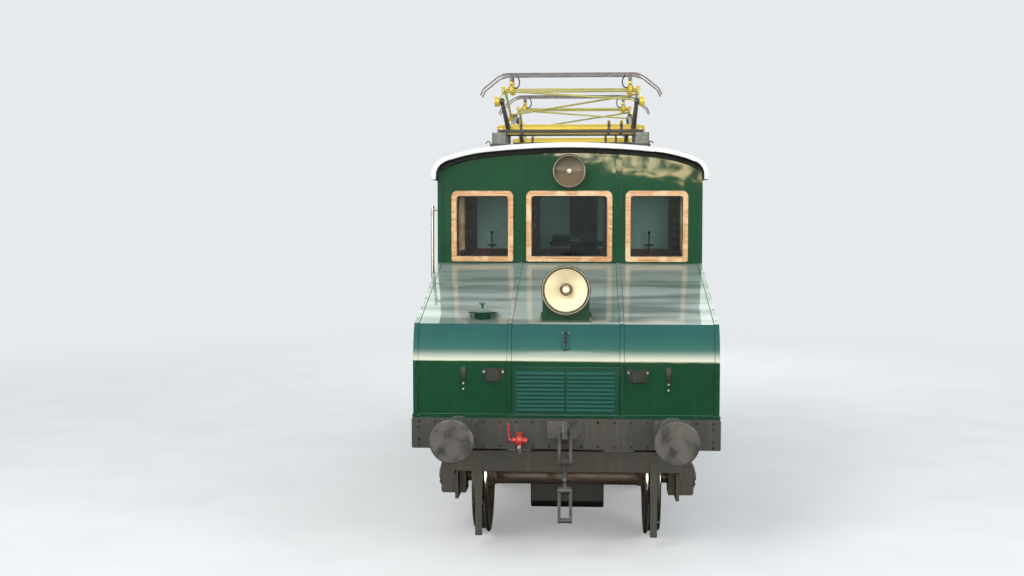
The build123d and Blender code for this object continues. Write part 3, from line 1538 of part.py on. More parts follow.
# Head: two bows with down-turned horns on a pair of carriers that ride on both upper frames' shafts
bow_z = apex_z + bow_rise
bow_width = 34
bow_thickness = 20
carrier_half = 14
carrier_eye_radius = 38
carrier_bar_height = 36
carrier_post_width = 28
horn_mid = (885, -150)
horn_tip = (915, -215)
horn_bend = 220
horn_tip_bend = 60
open_pivot_clearance = 3
with BuildPart() as head:
    for bow_y in (-shaft_offset, shaft_offset):
        with BuildLine(Plane.XZ.offset(-bow_y)):
            FilletPolyline(
                (-horn_tip[0], bow_z + horn_tip[1]),
                (-horn_mid[0], bow_z + horn_mid[1]),
                (-bow_half_straight, bow_z),
                (bow_half_straight, bow_z),
                (horn_mid[0], bow_z + horn_mid[1]),
                (horn_tip[0], bow_z + horn_tip[1]),
                radius=(horn_tip_bend, horn_bend, horn_bend, horn_tip_bend),
            )
        with BuildSketch(Plane(origin=(-horn_tip[0], bow_y, bow_z + horn_tip[1]),
                               x_dir=(0, 1, 0),
                               z_dir=(horn_tip[0] - horn_mid[0], 0, horn_mid[1] - horn_tip[1]))):
            Rectangle(bow_width, bow_thickness)
        sweep()
    for side in (-1, 1):
        with BuildSketch(Plane.YZ.offset(side * apex_x)):
            with Locations((0, apex_z)):
                Rectangle(2 * shaft_offset, carrier_bar_height)
            for end in (-1, 1):
                with Locations((end * shaft_offset, apex_z)):
                    Circle(carrier_eye_radius)
                with Locations((end * shaft_offset, apex_z + bow_rise / 2)):
                    Rectangle(carrier_post_width, bow_rise - bow_thickness)
            with Locations((0, bow_z - bow_thickness / 2)):
                Rectangle(2 * shaft_offset, bow_thickness, align=(Align.CENTER, Align.MAX))
            with Locations((-shaft_offset, apex_z)):
                Circle(apex_shaft_radius + running_clearance, mode=Mode.SUBTRACT)
            with Locations((shaft_offset, apex_z)):
                Circle(apex_shaft_radius + open_pivot_clearance, mode=Mode.SUBTRACT)
        extrude(amount=carrier_half, both=True)

for end, end_name in ((-1, "front"), (1, "rear")):
    for piece, flipped, piece_name in (
        (base_frame, False, "pantograph_base"),
        (lower_frame, False, "pantograph_lower_front"),
        (lower_frame, True, "pantograph_lower_rear"),
        (upper_frame, False, "pantograph_upper_front"),
        (upper_frame, True, "pantograph_upper_rear"),
        (head, False, "pantograph_head"),
    ):
        with BuildPart() as placed:
            with Locations((0, end * pantograph_y, 0)):
                add(turned(piece.part) if flipped else piece.part)
        write(placed, f"{end_name}_{piece_name}")
for piece, piece_name in ((feet_block, "pantograph_feet"), (insulator_set, "pantograph_insulators")):
    with BuildPart() as placed:
        for end in (-1, 1):
            with Locations((0, end * pantograph_y, 0)):
                add(piece.part)
    write(placed, piece_name)
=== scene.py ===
"""Looks of a steeple-cab electric locomotive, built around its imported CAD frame."""
import json
import logging
import math
from dataclasses import dataclass, field, replace
from enum import Enum
from functools import lru_cache
from typing import Callable, Sequence

import bmesh
import bpy
from mathutils import Matrix, Vector
from mathutils.bvhtree import BVHTree

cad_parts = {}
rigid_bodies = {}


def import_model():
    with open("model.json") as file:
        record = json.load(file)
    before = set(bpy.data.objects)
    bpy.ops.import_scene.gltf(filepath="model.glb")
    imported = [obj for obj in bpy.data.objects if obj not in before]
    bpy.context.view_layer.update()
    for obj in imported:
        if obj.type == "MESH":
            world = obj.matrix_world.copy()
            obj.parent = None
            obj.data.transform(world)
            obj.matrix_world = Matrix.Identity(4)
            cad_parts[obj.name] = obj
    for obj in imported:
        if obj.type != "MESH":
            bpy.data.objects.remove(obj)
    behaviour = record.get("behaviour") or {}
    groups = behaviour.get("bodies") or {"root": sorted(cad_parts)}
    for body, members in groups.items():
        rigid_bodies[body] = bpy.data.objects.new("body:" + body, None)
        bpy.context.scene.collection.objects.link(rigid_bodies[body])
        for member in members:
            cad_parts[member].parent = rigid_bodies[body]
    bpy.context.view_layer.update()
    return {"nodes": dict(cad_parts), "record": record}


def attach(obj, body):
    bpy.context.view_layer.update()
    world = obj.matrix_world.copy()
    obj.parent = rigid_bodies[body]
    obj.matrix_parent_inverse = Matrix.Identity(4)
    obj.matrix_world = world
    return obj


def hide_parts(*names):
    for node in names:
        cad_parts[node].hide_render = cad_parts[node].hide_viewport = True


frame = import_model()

ROOT = "locomotive"
ENDS = {"front": 1.0, "rear": -1.0}
SIDES = (-1.0, 1.0)
AHEAD = (0.0, -1.0, 0.0)
LEFT = (-1.0, 0.0, 0.0)
Colour = tuple[float, float, float]
Point = tuple[float, float, float]
Profile = Sequence[tuple[float, float]]
Socket = bpy.types.NodeSocket
Node = bpy.types.Node
Tree = bpy.types.NodeTree
Value = float | Socket
MM = 0.001
log = logging.getLogger("locomotive")


class Way(Enum):
    """Direction that a turned shape points along."""

    X = (1.0, 0.0, 0.0)
    Y = (0.0, 1.0, 0.0)
    Z = (0.0, 0.0, 1.0)


@dataclass(frozen=True)
class Spot:
    """One face, as the tests that pick faces see it.

    Attributes:
        at: Its middle.
        out: Its normal.
        area: Its area, in square metres.
    """

    at: Vector
    out: Vector
    area: float

    def from_axis(self, y: float, z: float) -> float:
        """Distance from an axis along X."""
        return math.hypot(self.at.y - y, self.at.z - z)


Test = Callable[[Spot], bool]


def aim(direction: Point | Vector) -> Matrix:
    """Rotation that takes +Z onto a direction."""
    return Vector((0, 0, 1)).rotation_difference(Vector(direction)).to_matrix().to_4x4()


# Shader helpers


@dataclass
class Graph:
    """Short calls that build one shader node tree.

    Attributes:
        tree: Node tree that receives the nodes.
    """

    tree: Tree

    def feed(self, node: Node, inputs: dict) -> Node:
        """Set or link a node's inputs.

        Args:
            node: The node.
            inputs: Socket name or number to a value or to the socket that feeds it.

        Returns:
            The same node.
        """
        for key, value in inputs.items():
            if isinstance(value, Socket):
                self.tree.links.new(value, node.inputs[key])
            elif node.inputs[key].type == "RGBA":
                node.inputs[key].default_value = (*value, 1.0)
            else:
                node.inputs[key].default_value = value
        return node

    def add(self, kind: str, inputs: dict | None = None, **settings: object) -> Node:
        """Add one node.

        Args:
            kind: Node type name, without the words Shader Node.
            inputs: Its inputs, as feed takes them.
            settings: Properties set on the node itself.

        Returns:
            The new node.
        """
        node = self.tree.nodes.new(f"ShaderNode{kind}")
        for name, value in settings.items():
            setattr(node, name, value)
        return self.feed(node, inputs or {})

    def objects(self) -> Socket:
        """Object coordinates, in metres."""
        return self.add("TexCoord").outputs["Object"]

    def split(self, vector: Socket, axis: str = "Z") -> Socket:
        """One coordinate of a vector."""
        return self.add("SeparateXYZ", {"Vector": vector}).outputs[axis]

    def up(self) -> Socket:
        """How far the surface faces up, from -1 to 1."""
        return self.split(self.add("NewGeometry").outputs["Normal"])

    def stretch(self, vector: Socket, scale: Point) -> Socket:
        """Coordinates stretched by a scale on each axis."""
        return self.add("Mapping", {"Vector": vector, "Scale": scale}).outputs["Vector"]

    def noise(self, vector: Socket, scale: Value, detail: float = 4.0, rough: float = 0.55) -> Socket:
        """Grey noise of the given scale, detail and roughness."""
        inputs = {"Vector": vector, "Scale": scale, "Detail": detail, "Roughness": rough}
        return self.add("TexNoise", inputs).outputs["Fac"]

    def ramp(self, value: Socket, low: float, high: float, out_low: float = 0.0,
             out_high: float = 1.0) -> Socket:
        """Value mapped smoothly from low..high onto out_low..out_high, clamped."""
        inputs = {"Value": value, "From Min": low, "From Max": high, "To Min": out_low, "To Max": out_high}
        return self.add("MapRange", inputs, interpolation_type="SMOOTHSTEP").outputs["Result"]

    def math(self, operation: str, first: Value, second: Value) -> Socket:
        """Result of one arithmetic operation, clamped to 0..1."""
        return self.add("Math", {0: first, 1: second}, operation=operation, use_clamp=True).outputs["Value"]

    def product(self, first: Value, *others: Value) -> Socket:
        """Multiply values one after another, each step clamped to 0..1.

        Args:
            first: First value.
            others: Values that multiply it.

        Returns:
            The product.
        """
        for other in others:
            first = self.math("MULTIPLY", first, other)
        return first

    def plus(self, first: Value, second: Value) -> Socket:
        """Sum, clamped to 0..1."""
        return self.math("ADD", first, second)

    def minus(self, first: Value, second: Value) -> Socket:
        """Difference, clamped to 0..1."""
        return self.math("SUBTRACT", first, second)

    def mix(self, fac: Socket, first: object, second: object) -> Socket:
        """Colour mixed from first to second by fac."""
        return self.add("Mix", {"Factor": fac, 6: first, 7: second}, data_type="RGBA").outputs[2]

    def bump(self, height: Socket, strength: float, distance: float) -> Socket:
        """Normal bent by a height."""
        inputs = {"Height": height, "Strength": strength, "Distance": distance}
        return self.add("Bump", inputs).outputs["Normal"]

    def emit(self, colour: Colour, strength: float) -> Socket:
        """Light of a colour and strength."""
        return self.add("Emission", {"Color": colour, "Strength": strength}).outputs[0]

    def sky(self, colour: Colour | Socket, strength: float) -> Socket:
        """Background of a colour and strength."""
        return self.add("Background", {"Color": colour, "Strength": strength}).outputs[0]

    def blend(self, fac: Socket, first: Socket, second: Socket) -> Socket:
        """Shader mixed from first to second by fac."""
        return self.add("MixShader", {0: fac, 1: first, 2: second}).outputs[0]


class Effect(Enum):
    """Surface effects that several finishes share, each built once as a node group."""

    WEATHER = "Weathering"
    CHIPS = "Chipped edges"
    WAVES = "Sheet waviness"

    def group(self) -> Tree:
        """Find the effect's node group, or build it when it is first asked for.

        Returns:
            The group.
        """
        made = bpy.data.node_groups.get(self.value)
        if made is None:
            made = bpy.data.node_groups.new(self.value, "ShaderNodeTree")
            {Effect.WEATHER: _weather, Effect.CHIPS: _chips, Effect.WAVES: _waves}[self](made)
        return made

    def place(self, graph: Graph, inputs: dict) -> Node:
        """Put the effect into a material's graph, with values or sockets for its inputs."""
        return graph.add("Group", inputs, node_tree=self.group())


def _sockets(tree: Tree, inputs: Sequence[str], outputs: Sequence[str]) -> tuple[Node, Node]:
    """Give a node group its sockets; names that end in Color carry colours, the rest numbers.

    Args:
        tree: The group.
        inputs: Names of its inputs.
        outputs: Names of its outputs.

    Returns:
        Its input and its output node.
    """
    for way, names in (("INPUT", inputs), ("OUTPUT", outputs)):
        for name in names:
            kind = "NodeSocketColor" if name.endswith("Color") else "NodeSocketFloat"
            tree.interface.new_socket(name, in_out=way, socket_type=kind)
    return tree.nodes.new("NodeGroupInput"), tree.nodes.new("NodeGroupOutput")


def _weather(tree: Tree) -> None:
    """Dust that settles on what faces up, and streaks that run down what stands upright.

    Args:
        tree: Node group to fill.
    """
    enter, leave = _sockets(tree, ("Color", "Dust Color", "Dust", "Streaks"), ("Color", "Mask"))
    graph = Graph(tree)
    where = graph.objects()
    level = graph.ramp(graph.up(), 0.15, 0.98)
    cloud = graph.ramp(graph.noise(where, 3.1, 6.0), 0.32, 0.68)
    grit = graph.ramp(graph.noise(where, 70.0, 3.0), 0.35, 0.75, 0.6, 1.0)
    settled = graph.product(level, grit, enter.outputs["Dust"])
    settled = graph.product(settled, graph.plus(cloud, 0.35))
    run = graph.ramp(graph.noise(graph.stretch(where, (14.0, 14.0, 0.9)), 1.0, 5.0), 0.52, 0.78)
    run = graph.product(run, graph.minus(1.0, level), enter.outputs["Streaks"])
    mask = graph.plus(settled, run)
    colour = graph.mix(mask, enter.outputs["Color"], enter.outputs["Dust Color"])
    graph.feed(leave, {"Color": colour, "Mask": mask})


def _chips(tree: Tree) -> None:
    """Small worn patches, more of them as Amount rises.

    Args:
        tree: Node group to fill.
    """
    enter, leave = _sockets(tree, ("Amount", "Scale"), ("Mask",))
    graph = Graph(tree)
    where = graph.objects()
    flakes = graph.noise(where, enter.outputs["Scale"], 8.0, 0.62)
    patches = graph.ramp(graph.noise(where, 2.3, 3.0), 0.4, 0.7, 0.5, 1.0)
    edge = graph.minus(0.88, graph.product(enter.outputs["Amount"], 0.4))
    mask = graph.ramp(graph.minus(graph.product(flakes, patches, 1.25), edge), 0.0, 0.035)
    graph.feed(leave, {"Mask": mask})


def _waves(tree: Tree) -> None:
    """Slow dents of hand-beaten sheet, as a height.

    Args:
        tree: Node group to fill.
    """
    enter, leave = _sockets(tree, ("Scale", "Fine"), ("Height",))
    graph = Graph(tree)
    where = graph.objects()
    slow = graph.noise(graph.stretch(where, (1.0, 1.0, 1.6)), enter.outputs["Scale"], 1.0, 0.5)
    brush = graph.noise(graph.stretch(where, (1.0, 1.0, 0.25)), 60.0, 2.0, 0.5)
    height = graph.plus(graph.product(slow, 0.8), graph.product(brush, enter.outputs["Fine"]))
    graph.feed(leave, {"Height": height})


# Finishes


@dataclass(frozen=True)
class Finish:
    """A material that is made once and worn by every piece of one finish.

    Attributes:
        name: Material name.
        colour: Main linear colour.
    """

    name: str
    colour: Colour

    def material(self) -> bpy.types.Material:
        """Find the finish's material, or build it when it is first asked for.

        Returns:
            The material.
        """
        made = bpy.data.materials.get(self.name)
        if made is None:
            made = bpy.data.materials.new(self.name)
            made.use_nodes = True
            made.diffuse_color = (*self.colour, 1.0)
            made.node_tree.nodes.clear()
            graph = Graph(made.node_tree)
            shader = graph.add("BsdfPrincipled")
            graph.add("OutputMaterial", {"Surface": shader.outputs["BSDF"]})
            graph.feed(shader, self.look(graph))
        return made

    def look(self, graph: Graph) -> dict:
        """Values and sockets that give the Principled shader this finish's look."""
        raise NotImplementedError


@dataclass(frozen=True)
class Paint(Finish):
    """Brushed or sprayed paint on steel, with dust, streaks and chips, and, where sheen is set, a painted
    sky reflection on its slopes.

    Attributes:
        shade: Second colour that the paint drifts towards.
        under: Colour that shows where the paint is chipped.
        dust: Colour of the dust; the green and louvre enamels tint it so that it also paints sky light on
            faces that look up.
        dusty: How much dust lies on level faces.
        streaks: How much dirt runs down upright faces.
        chips: How much of the paint is chipped.
        rough: Roughness of the clean paint.
        gloss: Coat weight.
        waves: Height of the sheet's dents, in metres.
        specular: Reflection of the paint itself, where 0.5 is plain.
        sheen: Strength of the painted sky reflection, pale bands painted into the colour of sloping faces
            and strongest at a low angle of view.
    """

    shade: Colour = (0.0, 0.0, 0.0)
    under: Colour = (0.05, 0.03, 0.02)
    dust: Colour = (0.19, 0.17, 0.13)
    dusty: float = 0.1
    streaks: float = 0.15
    chips: float = 0.1
    rough: float = 0.3
    gloss: float = 0.5
    waves: float = 0.001
    specular: float = 0.4
    sheen: float = 0.0

    def look(self, graph: Graph) -> dict:
        """Describe this paint's look.

        Args:
            graph: The material's graph.

        Returns:
            Values and sockets for the Principled shader's inputs.
        """
        drift = graph.ramp(graph.noise(graph.objects(), 1.7, 5.0), 0.3, 0.7)
        chips = Effect.CHIPS.place(graph, {"Amount": self.chips, "Scale": 34.0}).outputs["Mask"]
        weather = Effect.WEATHER.place(graph, {
            "Color": graph.mix(chips, graph.mix(drift, self.colour, self.shade), self.under),
            "Dust Color": self.dust, "Dust": self.dusty, "Streaks": self.streaks})
        worn = graph.plus(weather.outputs["Mask"], graph.product(chips, 0.8))
        waves = Effect.WAVES.place(graph, {"Scale": 2.2, "Fine": 0.001}).outputs["Height"]
        height = graph.product(waves, graph.ramp(graph.up(), 0.6, 0.95, 0.35, 1.0))
        height = graph.minus(height, graph.product(chips, 0.05))
        colour = weather.outputs["Color"]
        return {
            # with sheen set, a painted sky reflection is mixed into the base colour
            "Base Color": self._painted_sky_sheen(graph, colour) if self.sheen else colour,
            "Roughness": graph.ramp(worn, 0.0, 0.8, self.rough, 0.8),
            "Normal": graph.bump(height, 0.6, self.waves),
            "Coat Normal": self._lifted(graph, graph.bump(height, 0.22, self.waves)),
            "Specular IOR Level": self.specular,
            "Coat Weight": self.gloss,
            "Coat Roughness": 0.02,
            "Coat IOR": 1.55,
        }

    def _lifted(self, graph: Graph, normal: Socket) -> Socket:
        """Tilt the coat of low faces up, so that they mirror the rim of near surroundings as real ones do.

        Args:
            graph: The material's graph.
            normal: Normal of the coat.

        Returns:
            The tilted normal.
        """
        tall = graph.split(graph.objects())
        lift = graph.add("CombineXYZ", {"Z": graph.ramp(tall, 1.92, 1.70, 0.0, 0.048)}).outputs[0]
        tilted = graph.add("VectorMath", {0: normal, 1: lift}, operation="ADD").outputs[0]
        return graph.add("VectorMath", {0: tilted}, operation="NORMALIZE").outputs[0]

    def _painted_sky_sheen(self, graph: Graph, colour: Socket) -> Socket:
        """Paint pale bands of sky reflection into the colour of sloping sheet, strongest at a low angle of
        view.

        Args:
            graph: The material's graph.
            colour: Colour without them.

        Returns:
            The colour with them.
        """
        low = graph.add("LayerWeight", {"Blend": 0.5}).outputs["Facing"]
        where = graph.objects()
        cloud = graph.noise(graph.stretch(where, (0.7, 4.5, 4.5)), 1.0, 3.0)
        bands = graph.ramp(cloud, 0.36, 0.60, 0.35, 1.0)
        bands = graph.product(bands, graph.ramp(graph.split(where), 2.02, 2.28, 1.0, 0.55))
        amount = graph.product(graph.ramp(graph.up(), 0.72, 0.95), graph.ramp(low, 0.25, 0.66, 0.3, 1.0))
        amount = graph.product(amount, bands, self.sheen)
        # painted reflection: pale grey-green laid into the colour where the slopes would mirror the sky
        return graph.mix(amount, colour, (0.50, 0.55, 0.49))


@dataclass(frozen=True)
class Metal(Finish):
    """Bare or oily metal with rust and grime.

    Attributes:
        rust: Colour of the rust or grime.
        rusty: How much of it is covered.
        rough: Roughness where it is clean.
        metallic: Metallic value where it is clean.
        dusty: How much dust lies on level faces.
    """

    rust: Colour = (0.11, 0.055, 0.028)
    rusty: float = 0.5
    rough: float = 0.4
    metallic: float = 1.0
    dusty: float = 0.3

    def look(self, graph: Graph) -> dict:
        """Describe this metal's look.

        Args:
            graph: The material's graph.

        Returns:
            Values and sockets for the Principled shader's inputs.
        """
        where = graph.objects()
        patch = graph.noise(where, 9.0, 9.0, 0.65)
        patch = graph.ramp(patch, 0.62 - 0.3 * self.rusty, 0.78 - 0.2 * self.rusty)
        grain = graph.noise(where, 160.0, 3.0)
        tone = graph.mix(graph.ramp(grain, 0.3, 0.7, 0.0, 0.35), self.colour, self.rust)
        weather = Effect.WEATHER.place(graph, {
            "Color": graph.mix(patch, tone, self.rust), "Dust Color": (0.17, 0.145, 0.11),
            "Dust": self.dusty, "Streaks": 0.2})
        cover = graph.plus(weather.outputs["Mask"], patch)
        return {
            "Base Color": weather.outputs["Color"],
            "Roughness": graph.ramp(cover, 0.0, 1.0, self.rough, 0.85),
            "Metallic": graph.ramp(cover, 0.0, 0.8, self.metallic, 0.0),
            "Normal": graph.bump(graph.plus(graph.product(grain, 0.5), patch), 0.35, 0.0012),
        }


@dataclass(frozen=True)
class Timber(Finish):
    """Varnished wood whose grain follows each bar.

    Attributes:
        dark: Colour of the grain's dark lines.
        worn: Paler colour where sun and rain have bleached the varnish.
        bleach: How much of it is bleached.
    """

    dark: Colour = (0.16, 0.05, 0.015)
    worn: Colour = (0.56, 0.36, 0.18)
    bleach: float = 0.5

    def look(self, graph: Graph) -> dict:
        """Describe this wood's look.

        Args:
            graph: The material's graph.

        Returns:
            Values and sockets for the Principled shader's inputs.
        """
        where = graph.objects()
        upright = graph.add("Attribute", attribute_name="upright").outputs["Fac"]
        flat = graph.noise(graph.stretch(where, (2.2, 2.2, 55.0)), 1.0, 7.0, 0.6)
        tall = graph.noise(graph.stretch(where, (55.0, 55.0, 2.2)), 1.0, 7.0, 0.6)
        grain = graph.add("Mix", {"Factor": upright, 2: flat, 3: tall}, data_type="FLOAT").outputs[0]
        wood = graph.mix(graph.ramp(grain, 0.36, 0.66), self.dark, self.colour)
        sun = graph.noise(where, 5.0, 5.0, 0.6)
        sun = graph.ramp(sun, 0.62 - 0.35 * self.bleach, 0.8 - 0.2 * self.bleach)
        return {
            "Base Color": graph.mix(graph.product(sun, 0.85), wood, self.worn),
            "Roughness": graph.ramp(sun, 0.0, 1.0, 0.25, 0.6),
            "Normal": graph.bump(grain, 0.25, 0.0015),
            "Coat Weight": 0.35,
            "Coat Roughness": 0.12,
        }


@dataclass(frozen=True)
class Glass(Finish):
    """Clear glass with a film of dirt that lets light through to what is behind it.

    Attributes:
        film: How much dirt there is.
        ripple: Height of the pane's unevenness, in metres.
        ior: Index of refraction.
    """

    film: float = 0.25
    ripple: float = 0.0006
    ior: float = 1.45

    def look(self, graph: Graph) -> dict:
        """Describe this glass's look.

        Args:
            graph: The material's graph.

        Returns:
            Values and sockets for the Principled shader's inputs.
        """
        where = graph.objects()
        film = graph.ramp(graph.noise(where, 6.0, 6.0, 0.6), 0.5, 0.85, 0.0, self.film)
        shadow = graph.add("LightPath").outputs["Is Shadow Ray"]
        return {
            "Base Color": graph.mix(film, self.colour, (0.5, 0.5, 0.45)),
            "Roughness": graph.ramp(film, 0.0, 1.0, 0.01, 0.3),
            "Alpha": graph.ramp(shadow, 0.0, 1.0, 1.0, 0.2),
            "Normal": graph.bump(graph.noise(where, 4.0, 2.0), 0.3, self.ripple),
            "Transmission Weight": 1.0,
            "IOR": self.ior,
        }


@dataclass(frozen=True)
class Smooth(Finish):
    """Glazed, polished or oiled material with faint mottling.

    Attributes:
        shade: Second colour that it drifts towards.
        rough: Roughness.
        metallic: Metallic value.
        scale: Scale of the mottling, per metre.
    """

    shade: Colour = (0.0, 0.0, 0.0)
    rough: float = 0.25
    metallic: float = 0.0
    scale: float = 12.0

    def look(self, graph: Graph) -> dict:
        """Describe this material's look.

        Args:
            graph: The material's graph.

        Returns:
            Values and sockets for the Principled shader's inputs.
        """
        where = graph.objects()
        mottle = graph.noise(where, self.scale, 6.0, 0.6)
        weather = Effect.WEATHER.place(graph, {
            "Color": graph.mix(graph.ramp(mottle, 0.35, 0.65), self.colour, self.shade),
            "Dust Color": (0.3, 0.28, 0.24), "Dust": 0.2, "Streaks": 0.12})
        cover = graph.plus(weather.outputs["Mask"], mottle)
        return {
            "Base Color": weather.outputs["Color"],
            "Roughness": graph.ramp(cover, 0.4, 1.0, self.rough, self.rough + 0.25),
            "Normal": graph.bump(graph.noise(where, self.scale * 12.0, 3.0), 0.3, 0.0008),
            "Metallic": self.metallic,
        }


# Green enamel: its sheen paints pale bands of sky reflection on the hood slopes, and its green-grey dust on
# faces that look up is partly real dust, partly the same painted paleness.
GREEN = Paint("Green enamel", (0.0065, 0.056, 0.024), (0.005, 0.046, 0.02), under=(0.02, 0.03, 0.02),
              dust=(0.1, 0.14, 0.11), dusty=0.2, streaks=0.09, chips=0.02, rough=0.4, gloss=1.0,
              waves=0.012, specular=0.1, sheen=1.0)
# Louvre enamel: its teal dust on the upward slat faces is partly real dust, partly a painted sky reflection;
# the side louvres share it.
LOUVRE_GREEN = Paint("Louvre enamel", (0.008, 0.06, 0.03), (0.006, 0.05, 0.025), dusty=0.12,
                     dust=(0.1, 0.18, 0.15), streaks=0.05, chips=0.03, waves=0.0005, specular=0.2)
SIDE_LOUVRE = replace(LOUVRE_GREEN, name="Side louvre enamel", rough=0.6, gloss=0.0, specular=0.0)
LAMP_GREEN = Paint("Lamp enamel", (0.008, 0.052, 0.022), (0.006, 0.04, 0.018), dusty=0.15, streaks=0.05,
                   chips=0.0, rough=0.2, gloss=0.8)
RIM_BROWN = Paint("Lamp rim brown", (0.022, 0.02, 0.014), (0.016, 0.016, 0.012), chips=0.2,
                  under=(0.25, 0.17, 0.07), gloss=0.4, waves=0.0005)
# A thin ring round each lamp's glass; its cream is a painted highlight on the lamp's rim.
RING_HIGHLIGHT = Paint("Lamp ring painted highlight", (0.62, 0.56, 0.36), (0.5, 0.44, 0.27), chips=0.25,
                  under=(0.1, 0.09, 0.05), gloss=0.4, waves=0.0005)
ROOF_WHITE = Paint("Roof white", (0.93, 0.92, 0.89), (0.88, 0.87, 0.84), under=(0.45, 0.42, 0.38),
                   dust=(0.42, 0.39, 0.35), dusty=0.3, streaks=0.08, chips=0.04, rough=0.5, gloss=0.05,
                   waves=0.004)
# Near-black painted shade on the roof's underside and the hood's inner faces; the roof cornice wears it too.
PAINTED_SHADE = Paint("Painted shade black", (0.01, 0.011, 0.01), (0.016, 0.016, 0.015), chips=0.05, rough=0.6,
                  gloss=0.0, waves=0.002)
FRAME_BROWN = Paint("Frame paint", (0.044, 0.037, 0.032), (0.026, 0.023, 0.021),
                    under=(0.085, 0.052, 0.036), dust=(0.17, 0.15, 0.13), dusty=0.6, streaks=0.45,
                    chips=0.35, rough=0.6, gloss=0.0, waves=0.002)
BOGIE_BLACK = Paint("Bogie paint", (0.03, 0.028, 0.026), (0.045, 0.037, 0.03), under=(0.09, 0.05, 0.03),
                    dust=(0.15, 0.12, 0.09), dusty=0.7, streaks=0.4, chips=0.3, rough=0.5, gloss=0.05,
                    waves=0.002)
BLACK = Paint("Black paint", (0.012, 0.012, 0.013), (0.018, 0.017, 0.016), dusty=0.15, chips=0.05,
              rough=0.5, gloss=0.05, specular=0.25)
YELLOW = Paint("Pantograph yellow", (0.8, 0.55, 0.025), (0.72, 0.46, 0.02), under=(0.16, 0.09, 0.03),
               dust=(0.25, 0.2, 0.08), dusty=0.2, streaks=0.12, chips=0.3, gloss=0.35)
PALE_YELLOW = Paint("Thin tube yellow", (0.52, 0.46, 0.09), (0.42, 0.37, 0.07), under=(0.16, 0.12, 0.05),
                    chips=0.25, rough=0.35, gloss=0.3, waves=0.0005)
ARM_BROWN = Paint("Pantograph arm brown", (0.05, 0.036, 0.034), (0.038, 0.028, 0.027), dusty=0.15,
                  chips=0.2, rough=0.45, gloss=0.1, waves=0.0005)
RED = Paint("Brake red", (0.6, 0.045, 0.03), (0.5, 0.03, 0.022), dusty=0.2, chips=0.3, rough=0.35,
            gloss=0.3, waves=0.0008)
CAB_GREY = Paint("Cab grey", (0.017, 0.018, 0.023), (0.012, 0.013, 0.018), chips=0.0, rough=0.4, gloss=0.1)
BUFFER = Metal("Buffer steel", (0.08, 0.072, 0.07), (0.036, 0.03, 0.028), rusty=0.6, rough=0.5,
               metallic=0.4, dusty=0.4)
WHEEL = Metal("Wheel steel", (0.085, 0.078, 0.072), rusty=0.6, rough=0.55, metallic=0.5)
TREAD = Metal("Polished tread", (0.5, 0.49, 0.47), (0.25, 0.22, 0.19), rusty=0.15, rough=0.2, dusty=0.05)
STEEL = Metal("Plain steel", (0.42, 0.41, 0.39), rusty=0.25, rough=0.32, dusty=0.1)
BRASS = Metal("Brass", (0.62, 0.42, 0.16), (0.16, 0.11, 0.05), rusty=0.25, rough=0.3, dusty=0.1)
WOOD = Timber("Varnished wood", (0.74, 0.46, 0.24), (0.5, 0.22, 0.08), (0.84, 0.64, 0.41), bleach=0.42)
INNER_WOOD = Timber("Cab panelling", (0.22, 0.055, 0.026), (0.1, 0.024, 0.012), (0.28, 0.09, 0.045),
                    bleach=0.25)
PANE = Glass("Window glass", (0.8, 0.92, 0.88))
LENS = Glass("Lamp glass", (0.97, 0.95, 0.88), film=0.08, ripple=0.004, ior=1.16)
# The middle wall's panes: an opaque pale grey-green in place of glass, standing for both dust film and
# painted reflection.
DUST_AND_GLARE_PANE = Smooth("Pane dust and painted reflection", (0.64, 0.92, 0.81), (0.54, 0.8, 0.71), scale=2.0)
# Lamp reflector: a diffuse pale cream in place of a mirror, a painted reflection of the light the bowl would
# mirror.
REFLECTOR = Smooth("Lamp reflector", (0.99, 0.92, 0.72), (0.97, 0.88, 0.66), rough=0.3, scale=3.0)
DULL_REFLECTOR = Smooth("Dull reflector", (0.18, 0.135, 0.085), (0.11, 0.082, 0.052), rough=0.32,
                        metallic=0.3, scale=4.0)
BULB = Smooth("Bulb", (0.95, 0.93, 0.88), (0.9, 0.87, 0.8), rough=0.1)
GLAZE = Smooth("Insulator glaze", (0.085, 0.087, 0.09), (0.045, 0.046, 0.048), rough=0.3, scale=30.0)
STRIP = Smooth("Contact strip", (0.105, 0.082, 0.086), (0.085, 0.068, 0.072), rough=0.45, metallic=0.2)
LEATHER = Smooth("Stool leather", (0.065, 0.03, 0.016), (0.04, 0.02, 0.012), rough=0.45, scale=18.0)
RUBBER = Smooth("Hose rubber", (0.022, 0.021, 0.02), (0.03, 0.028, 0.026), rough=0.6, scale=25.0)
SHADE_BLUE = Smooth("Lamp shade blue", (0.16, 0.3, 0.36), (0.12, 0.24, 0.3))


# Mesh work


